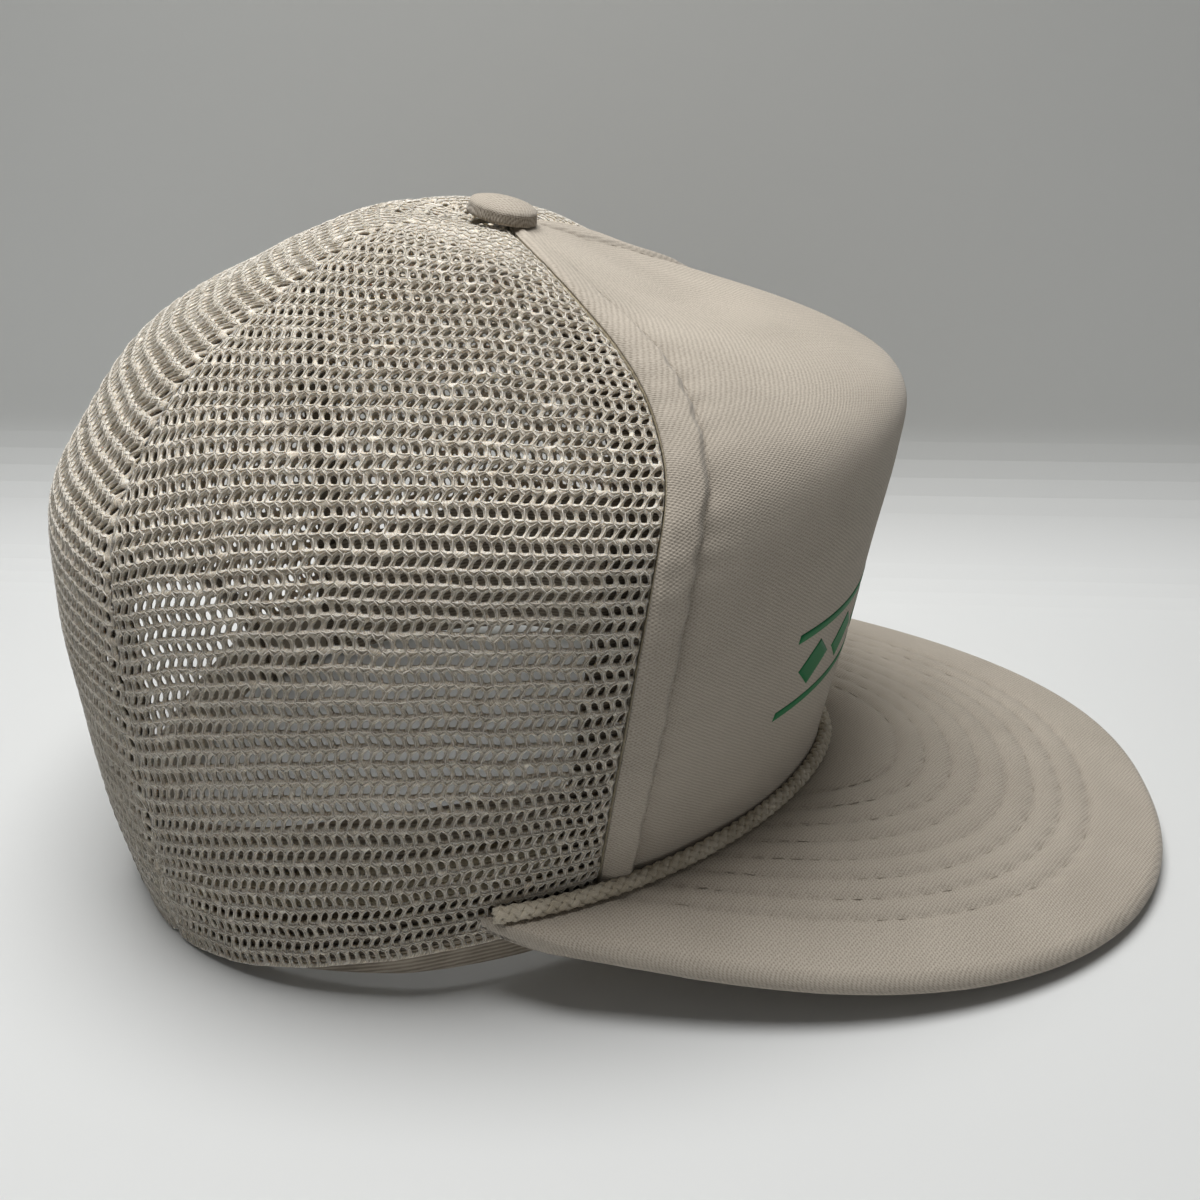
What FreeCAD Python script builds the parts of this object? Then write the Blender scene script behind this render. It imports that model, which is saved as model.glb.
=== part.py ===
# Trucker cap: foam-backed front, mesh sides and back, stitched visor with a rope at its root, sewn button,
# sweatband, and a two-leaf snap strap across the rear opening.
# Millimetres. +Z is up, the visor points to -Y, the wearer's left is +X, and Z = 0 is the rest plane.
import FreeCAD
import Part
import math
import os

# ---------------------------------------------------------------------------------------------- crown
crown_height = 154.5          # top of the panels above the rest plane
front_reach = 93.5            # front of the crown ahead of the frame's origin, at the widest
rear_reach = 104.0            # back of the crown behind the origin
side_reach = 84.0             # half width of the crown
button_y = -6.0               # the panels meet under the button here
belly_y = 14.0                # widest cross-line of the lower crown
# Meridian curves: (share of the reach, share of the height), evenly spaced along each curve.
FRONT_CURVE = ((0.866, 0.110), (0.898, 0.246), (0.936, 0.401), (0.973, 0.557), (1.008, 0.685),
               (1.009, 0.760), (0.914, 0.806), (0.708, 0.849), (0.454, 0.879), (0.096, 0.986))
SIDE_CURVE = ((0.976, 0.091), (1.000, 0.233), (1.000, 0.388), (0.976, 0.544), (0.925, 0.669),
              (0.821, 0.756), (0.681, 0.832), (0.511, 0.905), (0.317, 0.973), (0.036, 0.986))
REAR_CURVE = ((0.952, 0.000), (0.981, 0.181), (0.988, 0.352), (0.986, 0.512), (0.961, 0.651),
              (0.856, 0.755), (0.719, 0.861), (0.519, 0.930), (0.278, 0.988), (-0.029, 0.986))
base_front_power = 1.6        # plan curve of the front at the visor, flatter than an ellipse
front_power = 2.14            # plan curve of the front above the visor
rear_power = 2.32             # plan curve of the back, squarer than an ellipse
hem_rise = 15.0               # the hem climbs this far from the back to the visor
hem_rise_start = -10.0        # Y where the hem starts to fall
hem_rise_end = 80.0           # Y where it reaches the rest plane

# Seams, as angles from the front: at the hem, mid height and the top.
FRONT_SEAM = (57.0, 55.5, 52.0, 49.0, 50.0, 62.0)
REAR_SEAM = (132.0, 127.0, 128.0, 136.0, 144.0, 150.0)
seam_gap = 0.2

# Layers, as depths below the outer skin of the front.
face_thickness = 0.6
foam_thickness = 2.6
mesh_depth = 0.8
mesh_thickness = 1.2
net_side_columns = 7          # a plain grid of openings in each mesh panel stands for its knitted holes
net_rear_columns = 5
net_rows = 12
net_bar = 3.2                 # between two openings, and round the grid
net_top = 0.93                # the grid ends here on the way to the button
layer_gap = 0.15              # clearance between sewn layers
tape_width = 10.0
tape_thickness = 0.8
hem_tape_height = 14.0
lining_lift = 0.8             # hem tape and sweatband start this far above the hem
hem_tape_thickness = 1.2
band_foam_thickness = 1.2
band_foam_height = 26.0
band_thickness = 0.8
band_height = 30.0

# ---------------------------------------------------------------------------------------------- visor
visor_half_width = 83.5
visor_tip = 169.0             # tip ahead of the origin
visor_spread_y = -43.0        # widest cross-line of the visor
visor_power = 2.3
visor_root_z = 22.2           # top of the visor where it meets the front of the crown
visor_slope = 0.173           # fall of the visor toward its tip
visor_drop = 9.6              # fall of the visor toward its sides
visor_end_angle = 76.0        # the visor's ends, as an angle round a crown narrower than the visor
visor_end_margin = 4.0        # a wider crown meets the visor sooner, this far inside the visor's half width
visor_end_lead = 14.0         # the outer edge's end lies this far ahead of the inner edge's end
top_cover_thickness = 3.0
board_thickness = 1.4
under_cover_thickness = 0.8
board_inset = 4.0
stitch_rows = 8
stitch_margin = 15.0          # outermost row to the side edge
stitch_tip_margin = 18.0      # outermost row to the tip
stitch_pitch = 5.3
stitch_tip_pitch = 6.9
stitch_diameter = 0.5

# ---------------------------------------------------------------------------------------- rope, button
rope_diameter = 4.0
rope_end_lead = 2.0           # the rope ends this many degrees ahead of the visor's ends
button_diameter = 15.0
button_height = 4.0
button_wall = 0.6
button_cover_thickness = 0.6
button_tilt = 14.0
shank_diameter = 4.0
shank_length = 7.5
washer_diameter = 13.0
washer_thickness = 0.8

# ------------------------------------------------------------------------------- rear opening and strap
opening_half_width = 45.0
opening_height = 55.0
opening_straight = 15.0       # height of the straight sides below the arch
binding_width = 4.0
binding_thickness = 3.2
strap_thickness = 1.3
strap_height = 18.0
strap_foot = 2.5              # strap's lower edge above the rest plane
strap_gap = 0.3               # between the two leaves
strap_sag = 5.0               # the leaves bow outward by this much over the opening
hinge_half_span = 43.6        # hinge lines left and right of the middle
hinge_y = 87.0
leaf_reach = 22.0             # each leaf passes the middle by this much
stud_count = 7
stud_pitch = 7.0
stud_diameter = 3.2
stud_proud = 0.7              # stud above the outer leaf
stud_clearance = 0.45         # radial, so that a leaf can swing off the studs
tab_length = 15.0
tab_gap = 0.25                # tab to the rolled root of its leaf

visor_thickness = top_cover_thickness + board_thickness + under_cover_thickness + 2 * layer_gap
foam_inner = face_thickness + foam_thickness
mesh_inner = mesh_depth + mesh_thickness
V = FreeCAD.Vector


def curve_at(points, t):
    """Catmull-Rom value at share t of an evenly spaced list of points."""
    last = len(points) - 1
    place = min(max(t, 0.0), 1.0) * last
    i = min(int(place), last - 1)
    f = place - i

    def knot(k):
        if k < 0:
            return [2 * a - b for a, b in zip(points[0], points[1])]
        if k > last:
            return [2 * a - b for a, b in zip(points[last], points[last - 1])]
        return points[k]

    values = []
    for a, b, c, d in zip(knot(i - 1), knot(i), knot(i + 1), knot(i + 2)):
        cubic = (2 * b + (c - a) * f + (2 * a - 5 * b + 4 * c - d) * f * f + (3 * b - a - 3 * c + d) * f ** 3)
        values.append(0.5 * cubic)
    return values


def ease(low, high, x):
    u = min(max((x - low) / (high - low), 0.0), 1.0)
    return u * u * (3 - 2 * u)


def seam_angle(seam, t):
    return curve_at([(a,) for a in seam], t)[0]


def hem_z(y):
    return hem_rise * (1 - ease(hem_rise_start, hem_rise_end, y))


def skin_point(angle, t):
    """Point on the outer skin: angle from the front in degrees, t from hem (0) to button (1)."""
    front_share, front_rise = curve_at(FRONT_CURVE, t)
    side_share, side_rise = curve_at(SIDE_CURVE, t)
    rear_share, rear_rise = curve_at(REAR_CURVE, t)
    middle = belly_y + (button_y - belly_y) * ease(0.3, 1.0, t)
    c = math.cos(math.radians(angle))
    s = math.sin(math.radians(angle))
    if c >= 0:
        reach = middle + front_share * front_reach
        end_rise = front_rise
        foot_rise = FRONT_CURVE[0][1]
        power = base_front_power + (front_power - base_front_power) * ease(0.0, 0.4, t)
    else:
        reach = rear_share * rear_reach - middle
        end_rise = rear_rise
        foot_rise = REAR_CURVE[0][1]
        power = rear_power
    power = 2 + (power - 2) * (1 - ease(0.6, 1.0, t))
    width = side_share * side_reach
    radius = (abs(c / reach) ** power + abs(s / width) ** power) ** (-1 / power)
    y = middle - radius * c
    z = crown_height * (side_rise + (end_rise - side_rise) * c * c)
    if t < 0.4:
        foot = crown_height * (SIDE_CURVE[0][1] + (foot_rise - SIDE_CURVE[0][1]) * c * c)
        z += (hem_z(y) - foot) * (1 - t / 0.4) ** 2
    return V(radius * s, y, z)


def crown_point(angle, t, depth):
    """Point below the outer skin by depth, along the skin's own normal."""
    low = max(t - 0.005, 0.0)
    high = min(t + 0.005, 1.0)
    along = skin_point(angle + 0.5, t) - skin_point(angle - 0.5, t)
    up = skin_point(angle, high) - skin_point(angle, low)
    normal = along.cross(up)
    normal.normalize()
    return skin_point(angle, t) - normal * depth


def t_above_hem(angle, height):
    """t where the skin stands this far above its own hem."""
    low = 0.0
    high = 0.6
    foot = skin_point(angle, 0.0).z
    for _ in range(30):
        t = 0.5 * (low + high)
        if skin_point(angle, t).z - foot < height:
            low = t
        else:
            high = t
    return low


def rear_angle_at(x, depth=0.0, t=0.0):
    """Angle of the back of the crown at this distance from the middle."""
    low = 90.0
    high = 180.0
    for _ in range(30):
        angle = 0.5 * (low + high)
        if crown_point(angle, t, depth).x > x:
            low = angle
        else:
            high = angle
    return low


def gap_angle(gap):
    return math.degrees(gap / side_reach)


def span(low, high, count):
    return [low + (high - low) * i / (count - 1) for i in range(count)]


def slab(outer, inner):
    """Closed solid between two grids of points that have the same rows and columns."""
    skins = []
    for grid in (outer, inner):
        surface = Part.BSplineSurface()
        surface.interpolate(grid)
        skins.append(surface)
    faces = [surface.toShape() for surface in skins]
    ends = [surface.bounds() for surface in skins]
    for side in range(4):
        edges = []
        for surface, (u0, u1, v0, v1) in zip(skins, ends):
            if side < 2:
                edges.append(surface.uIso((u0, u1)[side]).toShape())
            else:
                edges.append(surface.vIso((v0, v1)[side - 2]).toShape())
        faces.append(Part.makeRuledSurface(edges[0], edges[1]))
    shell = Part.Shell(faces)
    shell.sewShape()
    solid = Part.Solid(shell)
    if solid.Volume < 0:
        solid.reverse()
    return solid


def crown_slab(left, right, low, high, depth, thickness, columns, rows):
    """Slab on the crown between two edges. Each edge and end is a function: angle of t, t of angle."""
    outer = []
    inner = []
    for u in span(0.0, 1.0, columns):
        outer_column = []
        inner_column = []
        for v in span(0.0, 1.0, rows):
            guess = low(left(0) + (right(0) - left(0)) * u)
            top = high(left(1) + (right(1) - left(1)) * u)
            t = guess + (top - guess) * v
            angle = left(t) + (right(t) - left(t)) * u
            outer_column.append(crown_point(angle, t, depth))
            inner_column.append(crown_point(angle, t, depth + thickness))
        outer.append(outer_column)
        inner.append(inner_column)
    return slab(outer, inner)


def always(value):
    return lambda _: value


def along_seam(seam, side, offset):
    """Edge that follows a seam; offset is in millimetres round the crown, away from the front."""
    return lambda t: side * (seam_angle(seam, t) + offset / local_radius(seam, t))


def local_radius(seam, t):
    """Millimetres round the crown per degree, at a seam."""
    angle = seam_angle(seam, t)
    step = skin_point(angle + 1.0, t) - skin_point(angle - 1.0, t)
    return step.Length / 2


def pipe(points, diameter):
    """Round bar along a smooth curve through the points."""
    curve = Part.BSplineCurve()
    curve.interpolate(points)
    path = Part.Wire(curve.toShape())
    direction = points[1] - points[0]
    circle = Part.Wire(Part.makeCircle(diameter / 2, points[0], direction))
    return path.makePipeShell([circle], True, True)


def turned(profile, base, tilt):
    """Solid turned round Z from (radius, height) points, then tilted forward and set on base."""
    wire = Part.makePolygon([V(r, 0, z) for r, z in profile + [profile[0]]])
    solid = Part.Face(wire).revolve(V(0, 0, 0), V(0, 0, 1), 360)
    solid.rotate(V(0, 0, 0), V(1, 0, 0), tilt)
    solid.translate(base)
    return solid


# ------------------------------------------------------------------------------------------- panels
def front_panel(depth, thickness):
    left = along_seam(FRONT_SEAM, -1, -seam_gap)
    right = along_seam(FRONT_SEAM, 1, -seam_gap)
    return crown_slab(left, right, always(0.0), always(1.0), depth, thickness, 25, 31)


def cell_corners(front, back, columns, column, low, high):
    """Corners of one cell of a panel's grid, drawn in by half a bar; none where it is too small."""

    def at(share, level):
        return crown_point(front(level) + (back(level) - front(level)) * share, level, mesh_depth)

    middle = 0.5 * (low + high)
    width = (at((column + 1) / columns, middle) - at(column / columns, middle)).Length
    height = (at((column + 0.5) / columns, high) - at((column + 0.5) / columns, low)).Length
    if min(width, height) < 1.5 * net_bar:
        return []
    margin = 0.5 * net_bar / width
    near = (column + margin) / columns
    far = (column + 1 - margin) / columns
    step = 0.5 * net_bar / height * (high - low)
    return [at(near, low + step), at(far, low + step), at(far, high - step), at(near, high - step)]


def in_rear_opening(point):
    """Whether a point lies in the rear opening, its binding or the bar round them."""
    half_width = opening_half_width + binding_width + net_bar
    rise = opening_height + binding_width + net_bar - opening_straight
    if point.y < 0 or abs(point.x) > half_width:
        return False
    return point.z < opening_straight + rise * math.sqrt(1 - (point.x / half_width) ** 2)


def prism(corners):
    """Four-sided cutter square to the panel at the middle of its corners."""
    centre = (corners[0] + corners[1] + corners[2] + corners[3]) * 0.25
    normal = (corners[2] - corners[0]).cross(corners[3] - corners[1])
    normal.normalize()
    flat = [p - normal * ((p - centre).dot(normal) + 3 * mesh_thickness) for p in corners]
    return Part.Face(Part.makePolygon(flat + [flat[0]])).extrude(normal * 6 * mesh_thickness)


def net_openings(front, back, columns):
    """Cutters for a panel's grid, from the top of the sweatband to near the button."""
    foot = t_above_hem(abs(0.5 * (front(0) + back(0))), band_height + net_bar)
    levels = span(foot, net_top, net_rows + 1)
    cutters = []
    for low, high in zip(levels, levels[1:]):
        for column in range(columns):
            corners = cell_corners(front, back, columns, column, low, high)
            if corners and not any(in_rear_opening(point) for point in corners):
                cutters.append(prism(corners))
    return cutters


def side_mesh(side):
    front = along_seam(FRONT_SEAM, side, seam_gap)
    back = along_seam(REAR_SEAM, side, -seam_gap)
    panel = crown_slab(front, back, always(0.0), always(1.0), mesh_depth, mesh_thickness, 15, 31)
    return panel.cut(net_openings(front, back, net_side_columns))


def rear_mesh(side):
    front = along_seam(REAR_SEAM, side, seam_gap)
    back = always(side * (180 - gap_angle(seam_gap)))
    panel = crown_slab(front, back, always(0.0), always(1.0), mesh_depth, mesh_thickness, 11, 31)
    opening = arch(opening_half_width + binding_width + seam_gap, opening_height + binding_width + seam_gap)
    return panel.cut([opening] + net_openings(front, back, net_rear_columns))


def front_seam_tape(side):
    """Folded seam allowance and tape behind the mesh edge, level with the foam."""
    front = along_seam(FRONT_SEAM, side, seam_gap)
    back = along_seam(FRONT_SEAM, side, tape_width)
    foot = t_above_hem(seam_angle(FRONT_SEAM, 0) + 5, hem_tape_height + 1)
    depth = mesh_inner + layer_gap
    return crown_slab(front, back, always(foot), always(0.93), depth, foam_inner - depth, 5, 31)


def rear_seam_tape(side):
    front = along_seam(REAR_SEAM, side, -tape_width / 2)
    back = along_seam(REAR_SEAM, side, tape_width / 2)
    foot = t_above_hem(seam_angle(REAR_SEAM, 0), hem_tape_height + 1)
    return crown_slab(front, back, always(foot), always(0.9), mesh_inner + layer_gap, tape_thickness, 5, 31)


def centre_seam_tape():
    def edge(share):
        return lambda t: 180 + share * tape_width / (2 * local_radius((180, 180), t))

    foot = t_above_hem(180, opening_height + binding_width + 1)
    return crown_slab(edge(-1), edge(1), always(foot), always(0.9), mesh_inner + layer_gap, tape_thickness, 5, 31)


def hem_tape(side):
    front = along_seam(FRONT_SEAM, side, seam_gap)
    back = always(side * rear_angle_at(opening_half_width + binding_width + 0.5, mesh_inner + hem_tape_thickness))
    high = lambda angle: t_above_hem(abs(angle), hem_tape_height)
    low = lambda angle: t_above_hem(abs(angle), lining_lift)
    return crown_slab(front, back, low, high, mesh_inner + layer_gap, hem_tape_thickness, 17, 5)


def band(depth, thickness, height):
    """Strip inside the hem that stops short of the strap's tabs."""
    end = rear_angle_at(hinge_half_span + strap_thickness + tab_gap + tab_length + 1.0, foam_inner + 2.0)
    high = lambda angle: t_above_hem(abs(angle), height)
    foot = lambda angle: t_above_hem(abs(angle), lining_lift)
    return crown_slab(always(-end), always(end), foot, high, depth, thickness, 49, 7)


# ------------------------------------------------------------------------------------- rear opening
def arch(half_width, height):
    """Upright tunnel through the back, straight below and elliptical above."""
    spring = opening_straight
    depth = rear_reach + 40
    lower = Part.makeBox(2 * half_width, depth, spring + 20, V(-half_width, 20, -20))
    rise = height - spring
    major = max(half_width, rise)
    minor = min(half_width, rise)
    ellipse = Part.Ellipse(V(0, 0, 0), major, minor)
    upper = Part.Face(Part.Wire(ellipse.toShape())).extrude(V(0, 0, depth))
    if rise > half_width:
        upper.rotate(V(0, 0, 0), V(0, 0, 1), 90)
    upper.rotate(V(0, 0, 0), V(1, 0, 0), -90)
    upper.translate(V(0, 20, spring))
    return lower.fuse(upper)


def arch_binding():
    """Folded tape round the edge of the opening, cut from a strip of the crown's own shape."""
    edge = rear_angle_at(opening_half_width + 2 * binding_width)
    depth = mesh_depth + mesh_thickness / 2 - binding_thickness / 2
    high = lambda angle: t_above_hem(180, opening_height + 3 * binding_width)
    strip = crown_slab(always(edge), always(360 - edge), always(0.0), high, depth, binding_thickness, 21, 11)
    ring = strip.common(arch(opening_half_width + binding_width, opening_height + binding_width))
    return ring.cut(arch(opening_half_width, opening_height))


leaf_radius = (hinge_half_span ** 2 + strap_sag ** 2) / (2 * strap_sag)
leaf_centre_y = hinge_y + strap_sag - leaf_radius


def leaf_y(x, offset):
    """Middle surface of a strap leaf at x, moved outward by offset."""
    return leaf_centre_y + math.sqrt((leaf_radius + offset) ** 2 - x * x)


def leaf(side, offset):
    """Leaf from its hinge line past the middle, with a rolled root and a rounded free end."""
    root = side * hinge_half_span
    tip = -side * leaf_reach
    nose = side * strap_height / 2
    xs = span(root, tip, 25)
    outline = [V(x, leaf_y(x, offset + strap_thickness / 2), 0) for x in xs]
    inline = [V(x, leaf_y(x, offset - strap_thickness / 2), 0) for x in reversed(xs)]
    outer = Part.BSplineCurve()
    outer.interpolate(outline)
    inner = Part.BSplineCurve()
    inner.interpolate(inline)
    ends = [Part.makeLine(outline[-1], inline[0]), Part.makeLine(inline[-1], outline[0])]
    face = Part.Face(Part.Wire([outer.toShape(), ends[0], inner.toShape(), ends[1]]))
    body = face.extrude(V(0, 0, strap_height))
    body.translate(V(0, 0, strap_foot))
    middle = V(tip + nose, 0, strap_foot + strap_height / 2)
    rounded = Part.makeCylinder(strap_height / 2, 200, middle, V(0, 1, 0))
    length = abs(root - tip) + 5
    start = min(tip + nose, root + 5 * side)
    keep = Part.makeBox(length - strap_height / 2, 200, strap_height + 2, V(start, 0, strap_foot - 1))
    root_y = leaf_y(root, offset)
    roll = Part.makeCylinder(strap_thickness / 2, strap_height, V(root, root_y, strap_foot), V(0, 0, 1))
    return body.common(keep.fuse(rounded)).fuse(roll)


def stud_places(shift):
    first = -(stud_count - 1) / 2 * stud_pitch + shift
    return [first + i * stud_pitch for i in range(stud_count)]


def stud(x, diameter, start, end):
    """Pin square to the leaves, between two offsets from the inner leaf's middle; x is on that middle."""
    level = strap_foot + strap_height / 2
    outward = V(x, leaf_y(x, 0.0) - leaf_centre_y, 0)
    outward.normalize()
    foot = V(0, leaf_centre_y, level) + outward * (leaf_radius + start)
    return Part.makeCylinder(diameter / 2, end - start, foot, outward)


def stud_leaf():
    solid = leaf(-1, 0.0)
    reach = 1.5 * strap_thickness + strap_gap + stud_proud
    for x in stud_places(-stud_pitch / 2):
        solid = solid.fuse(stud(x, stud_diameter, 0.0, reach))
    return solid.removeSplitter()


def hole_leaf():
    offset = strap_thickness + strap_gap
    solid = leaf(1, offset)
    for x in stud_places(stud_pitch / 2):
        solid = solid.cut(stud(x, stud_diameter + 2 * stud_clearance, -3.0, 8.0))
    return solid


def strap_tab(side):
    """Sewn end of a leaf, between the hem tape and the cap's inside."""
    depth = mesh_inner + hem_tape_thickness + 2 * layer_gap
    start = hinge_half_span + strap_thickness / 2 + tab_gap
    near = rear_angle_at(start, depth + strap_thickness)
    far = rear_angle_at(start + tab_length, depth + strap_thickness)
    low = lambda angle: t_above_hem(180, strap_foot)
    high = lambda angle: t_above_hem(180, strap_foot + strap_height)
    return crown_slab(always(side * near), always(side * far), low, high, depth, strap_thickness, 7, 5)


# -------------------------------------------------------------------------------------------- visor
def visor_z(x, y):
    fall = visor_slope * (y + FRONT_CURVE[0][0] * front_reach)
    return visor_root_z + fall - visor_drop * (x / visor_half_width) ** 2


def visor_plan(turn, inset, tip_inset, power):
    """Point of an outline inside the visor's edge; turn runs from -90 to 90 degrees and past."""
    c = math.cos(math.radians(turn))
    s = math.sin(math.radians(turn))
    depth = visor_tip + visor_spread_y - tip_inset
    x = (visor_half_width - inset) * math.copysign(abs(s) ** (2 / power), s)
    y = visor_spread_y - depth * math.copysign(abs(c) ** (2 / power), c)
    return x, y


def root_plan(angle):
    """Where the visor meets the crown: the outer skin level with the visor's upper face."""
    t = 0.0
    for _ in range(12):
        point = skin_point(angle, t)
        want = visor_z(point.x, point.y)
        t = min(max(t + (want - point.z) / 220, 0.0), 0.3)
    point = crown_point(angle, t, -seam_gap)
    return point.x, point.y


def visor_end():
    """Angle round the crown of the visor's ends."""
    meeting = visor_half_width - visor_end_margin
    low = 0.0
    high = visor_end_angle
    if root_plan(high)[0] < meeting:
        return high
    for _ in range(24):
        angle = 0.5 * (low + high)
        if root_plan(angle)[0] < meeting:
            low = angle
        else:
            high = angle
    return low


def visor_layer(top, thickness, inset, root_inset):
    """Layer of the visor that follows its upper surface, from the crown out to an inset edge."""
    end_angle = visor_end()
    end_x, end_y = root_plan(end_angle)
    lead = (visor_spread_y - (end_y - visor_end_lead)) / (visor_tip + visor_spread_y)
    last = 90 + math.degrees(math.asin(abs(lead) ** (visor_power / 2)))
    grids = ([], [])
    for u in span(-1.0, 1.0, 41):
        inner_x, inner_y = root_plan(end_angle * u)
        edge_x, edge_y = visor_plan(last * u, inset, inset, visor_power)
        columns = ([], [])
        length = math.hypot(edge_x - inner_x, edge_y - inner_y)
        for v in span(root_inset / length, 1.0, 9):
            x = inner_x + (edge_x - inner_x) * v
            y = inner_y + (edge_y - inner_y) * v
            z = visor_z(x, y) - top
            columns[0].append(V(x, y, z))
            columns[1].append(V(x, y, z - thickness))
        grids[0].append(columns[0])
        grids[1].append(columns[1])
    return slab(grids[0], grids[1])


def visor_top_cover():
    """Foam-backed cover with a rolled rim that boxes in the board."""
    cover = visor_layer(0.0, top_cover_thickness + layer_gap + board_thickness, 0.0, 0.0)
    pocket = visor_layer(top_cover_thickness, board_thickness + 3.0, board_inset - 0.3, -2.0)
    return cover.cut(pocket)


def visor_board():
    return visor_layer(top_cover_thickness + layer_gap, board_thickness - layer_gap, board_inset, 0.0)


def visor_under_cover():
    top = top_cover_thickness + board_thickness + 2 * layer_gap
    return visor_layer(top, under_cover_thickness, 0.0, 0.0)


def stitch_row(row):
    """Thread line on the visor's underside; row 0 is next to the crown."""
    outward = stitch_rows - 1 - row
    inset = stitch_margin + outward * stitch_pitch
    tip_inset = stitch_tip_margin + outward * stitch_tip_pitch
    points = []
    for turn in span(-88.0, 88.0, 89):
        x, y = visor_plan(turn, inset, tip_inset, visor_power)
        if y < root_front_y(x) - 3.0:
            points.append(V(x, y, visor_z(x, y) - visor_thickness - stitch_diameter / 2 - layer_gap))
    return pipe(points, stitch_diameter)


def root_front_y(x):
    """Y of the crown's foot at this distance from the middle."""
    low = 0.0
    high = 90.0
    for _ in range(24):
        angle = 0.5 * (low + high)
        if root_plan(angle)[0] < abs(x):
            low = angle
        else:
            high = angle
    return root_plan(low)[1]


def rope():
    """Rope laid in the corner between the crown and the visor."""
    points = []
    radius = rope_diameter / 2
    end_angle = visor_end() - rope_end_lead
    for angle in span(-end_angle, end_angle, 41):
        t = 0.0
        for _ in range(16):
            point = crown_point(angle, t, -radius - layer_gap)
            want = visor_z(point.x, point.y) + radius + layer_gap
            t = min(max(t + (want - point.z) / 220, 0.0), 0.4)
        points.append(crown_point(angle, t, -radius - layer_gap))
    return pipe(points, rope_diameter)


# ------------------------------------------------------------------------------------------- button
def button_base():
    return V(0, button_y, crown_height * SIDE_CURVE[-1][1] + 0.5)


def dome(radius, height):
    """Quarter outline of a low dome, from its rim to its top."""
    points = []
    for a in span(0.0, 90.0, 9):
        points.append((radius * math.cos(math.radians(a)), height * (0.35 + 0.65 * math.sin(math.radians(a)))))
    return points


def button_shell():
    radius = button_diameter / 2 - button_cover_thickness
    height = button_height - button_cover_thickness
    outer = [(radius, 0.0)] + dome(radius, height)
    inner = dome(radius - button_wall, height - button_wall)
    inner.reverse()
    return turned(outer + inner + [(radius - button_wall, 0.0)], button_base(), button_tilt)


def button_cover():
    radius = button_diameter / 2
    inner = dome(radius - button_cover_thickness + layer_gap, button_height - button_cover_thickness + layer_gap)
    inner.reverse()
    profile = [(radius, 0.0)] + dome(radius, button_height) + inner + [(inner[-1][0], 0.0)]
    return turned(profile, button_base(), button_tilt)


def button_rivet():
    """Shank through the tips of the panels, headed inside the shell."""
    head = button_diameter / 2 - button_cover_thickness - button_wall - 1.4
    shank = shank_diameter / 2
    top = 1.4
    under = 0.6
    profile = [(0, top), (head, top), (head, under), (shank, under), (shank, -shank_length), (0, -shank_length)]
    return turned(profile, button_base(), button_tilt)


def rivet_washer():
    bore = shank_diameter / 2 + 0.05
    low = -shank_length + 0.3
    rim = washer_diameter / 2
    profile = [(bore, low), (rim, low), (rim, low + washer_thickness), (bore, low + washer_thickness)]
    return turned(profile, button_base(), button_tilt)


# -------------------------------------------------------------------------------------------- build
def build():
    pieces = {
        "front_face_fabric": front_panel(0.0, face_thickness - layer_gap),
        "front_foam": front_panel(face_thickness, foam_thickness),
        "centre_seam_tape": centre_seam_tape(),
        "sweatband_foam": band(foam_inner + seam_gap, band_foam_thickness, band_foam_height),
        "sweatband": band(foam_inner + seam_gap + band_foam_thickness + layer_gap, band_thickness, band_height),
        "arch_binding": arch_binding(),
        "stud_strap": stud_leaf(),
        "hole_strap": hole_leaf(),
        "visor_top_cover": visor_top_cover(),
        "visor_board": visor_board(),
        "visor_under_cover": visor_under_cover(),
        "rope": rope(),
        "button_shell": button_shell(),
        "button_cover": button_cover(),
        "button_rivet": button_rivet(),
        "rivet_washer": rivet_washer(),
    }
    for name, side in (("left", 1), ("right", -1)):
        pieces["side_mesh_" + name] = side_mesh(side)
        pieces["rear_mesh_" + name] = rear_mesh(side)
        pieces["front_seam_tape_" + name] = front_seam_tape(side)
        pieces["rear_seam_tape_" + name] = rear_seam_tape(side)
        pieces["hem_tape_" + name] = hem_tape(side)
    pieces["hole_strap_tab"] = strap_tab(1)
    pieces["stud_strap_tab"] = strap_tab(-1)
    for row in range(stitch_rows):
        pieces["visor_stitch_row_%d" % (row + 1)] = stitch_row(row)
    return pieces


os.makedirs("parts", exist_ok=True)
for node, shape in sorted(build().items()):
    shape.exportStep("parts/%s.step" % node)
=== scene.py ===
import math
import random

import bmesh
import bpy
import numpy as np
from bpy.props import FloatProperty, FloatVectorProperty, IntProperty, PointerProperty
from mathutils import Matrix, Vector


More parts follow.
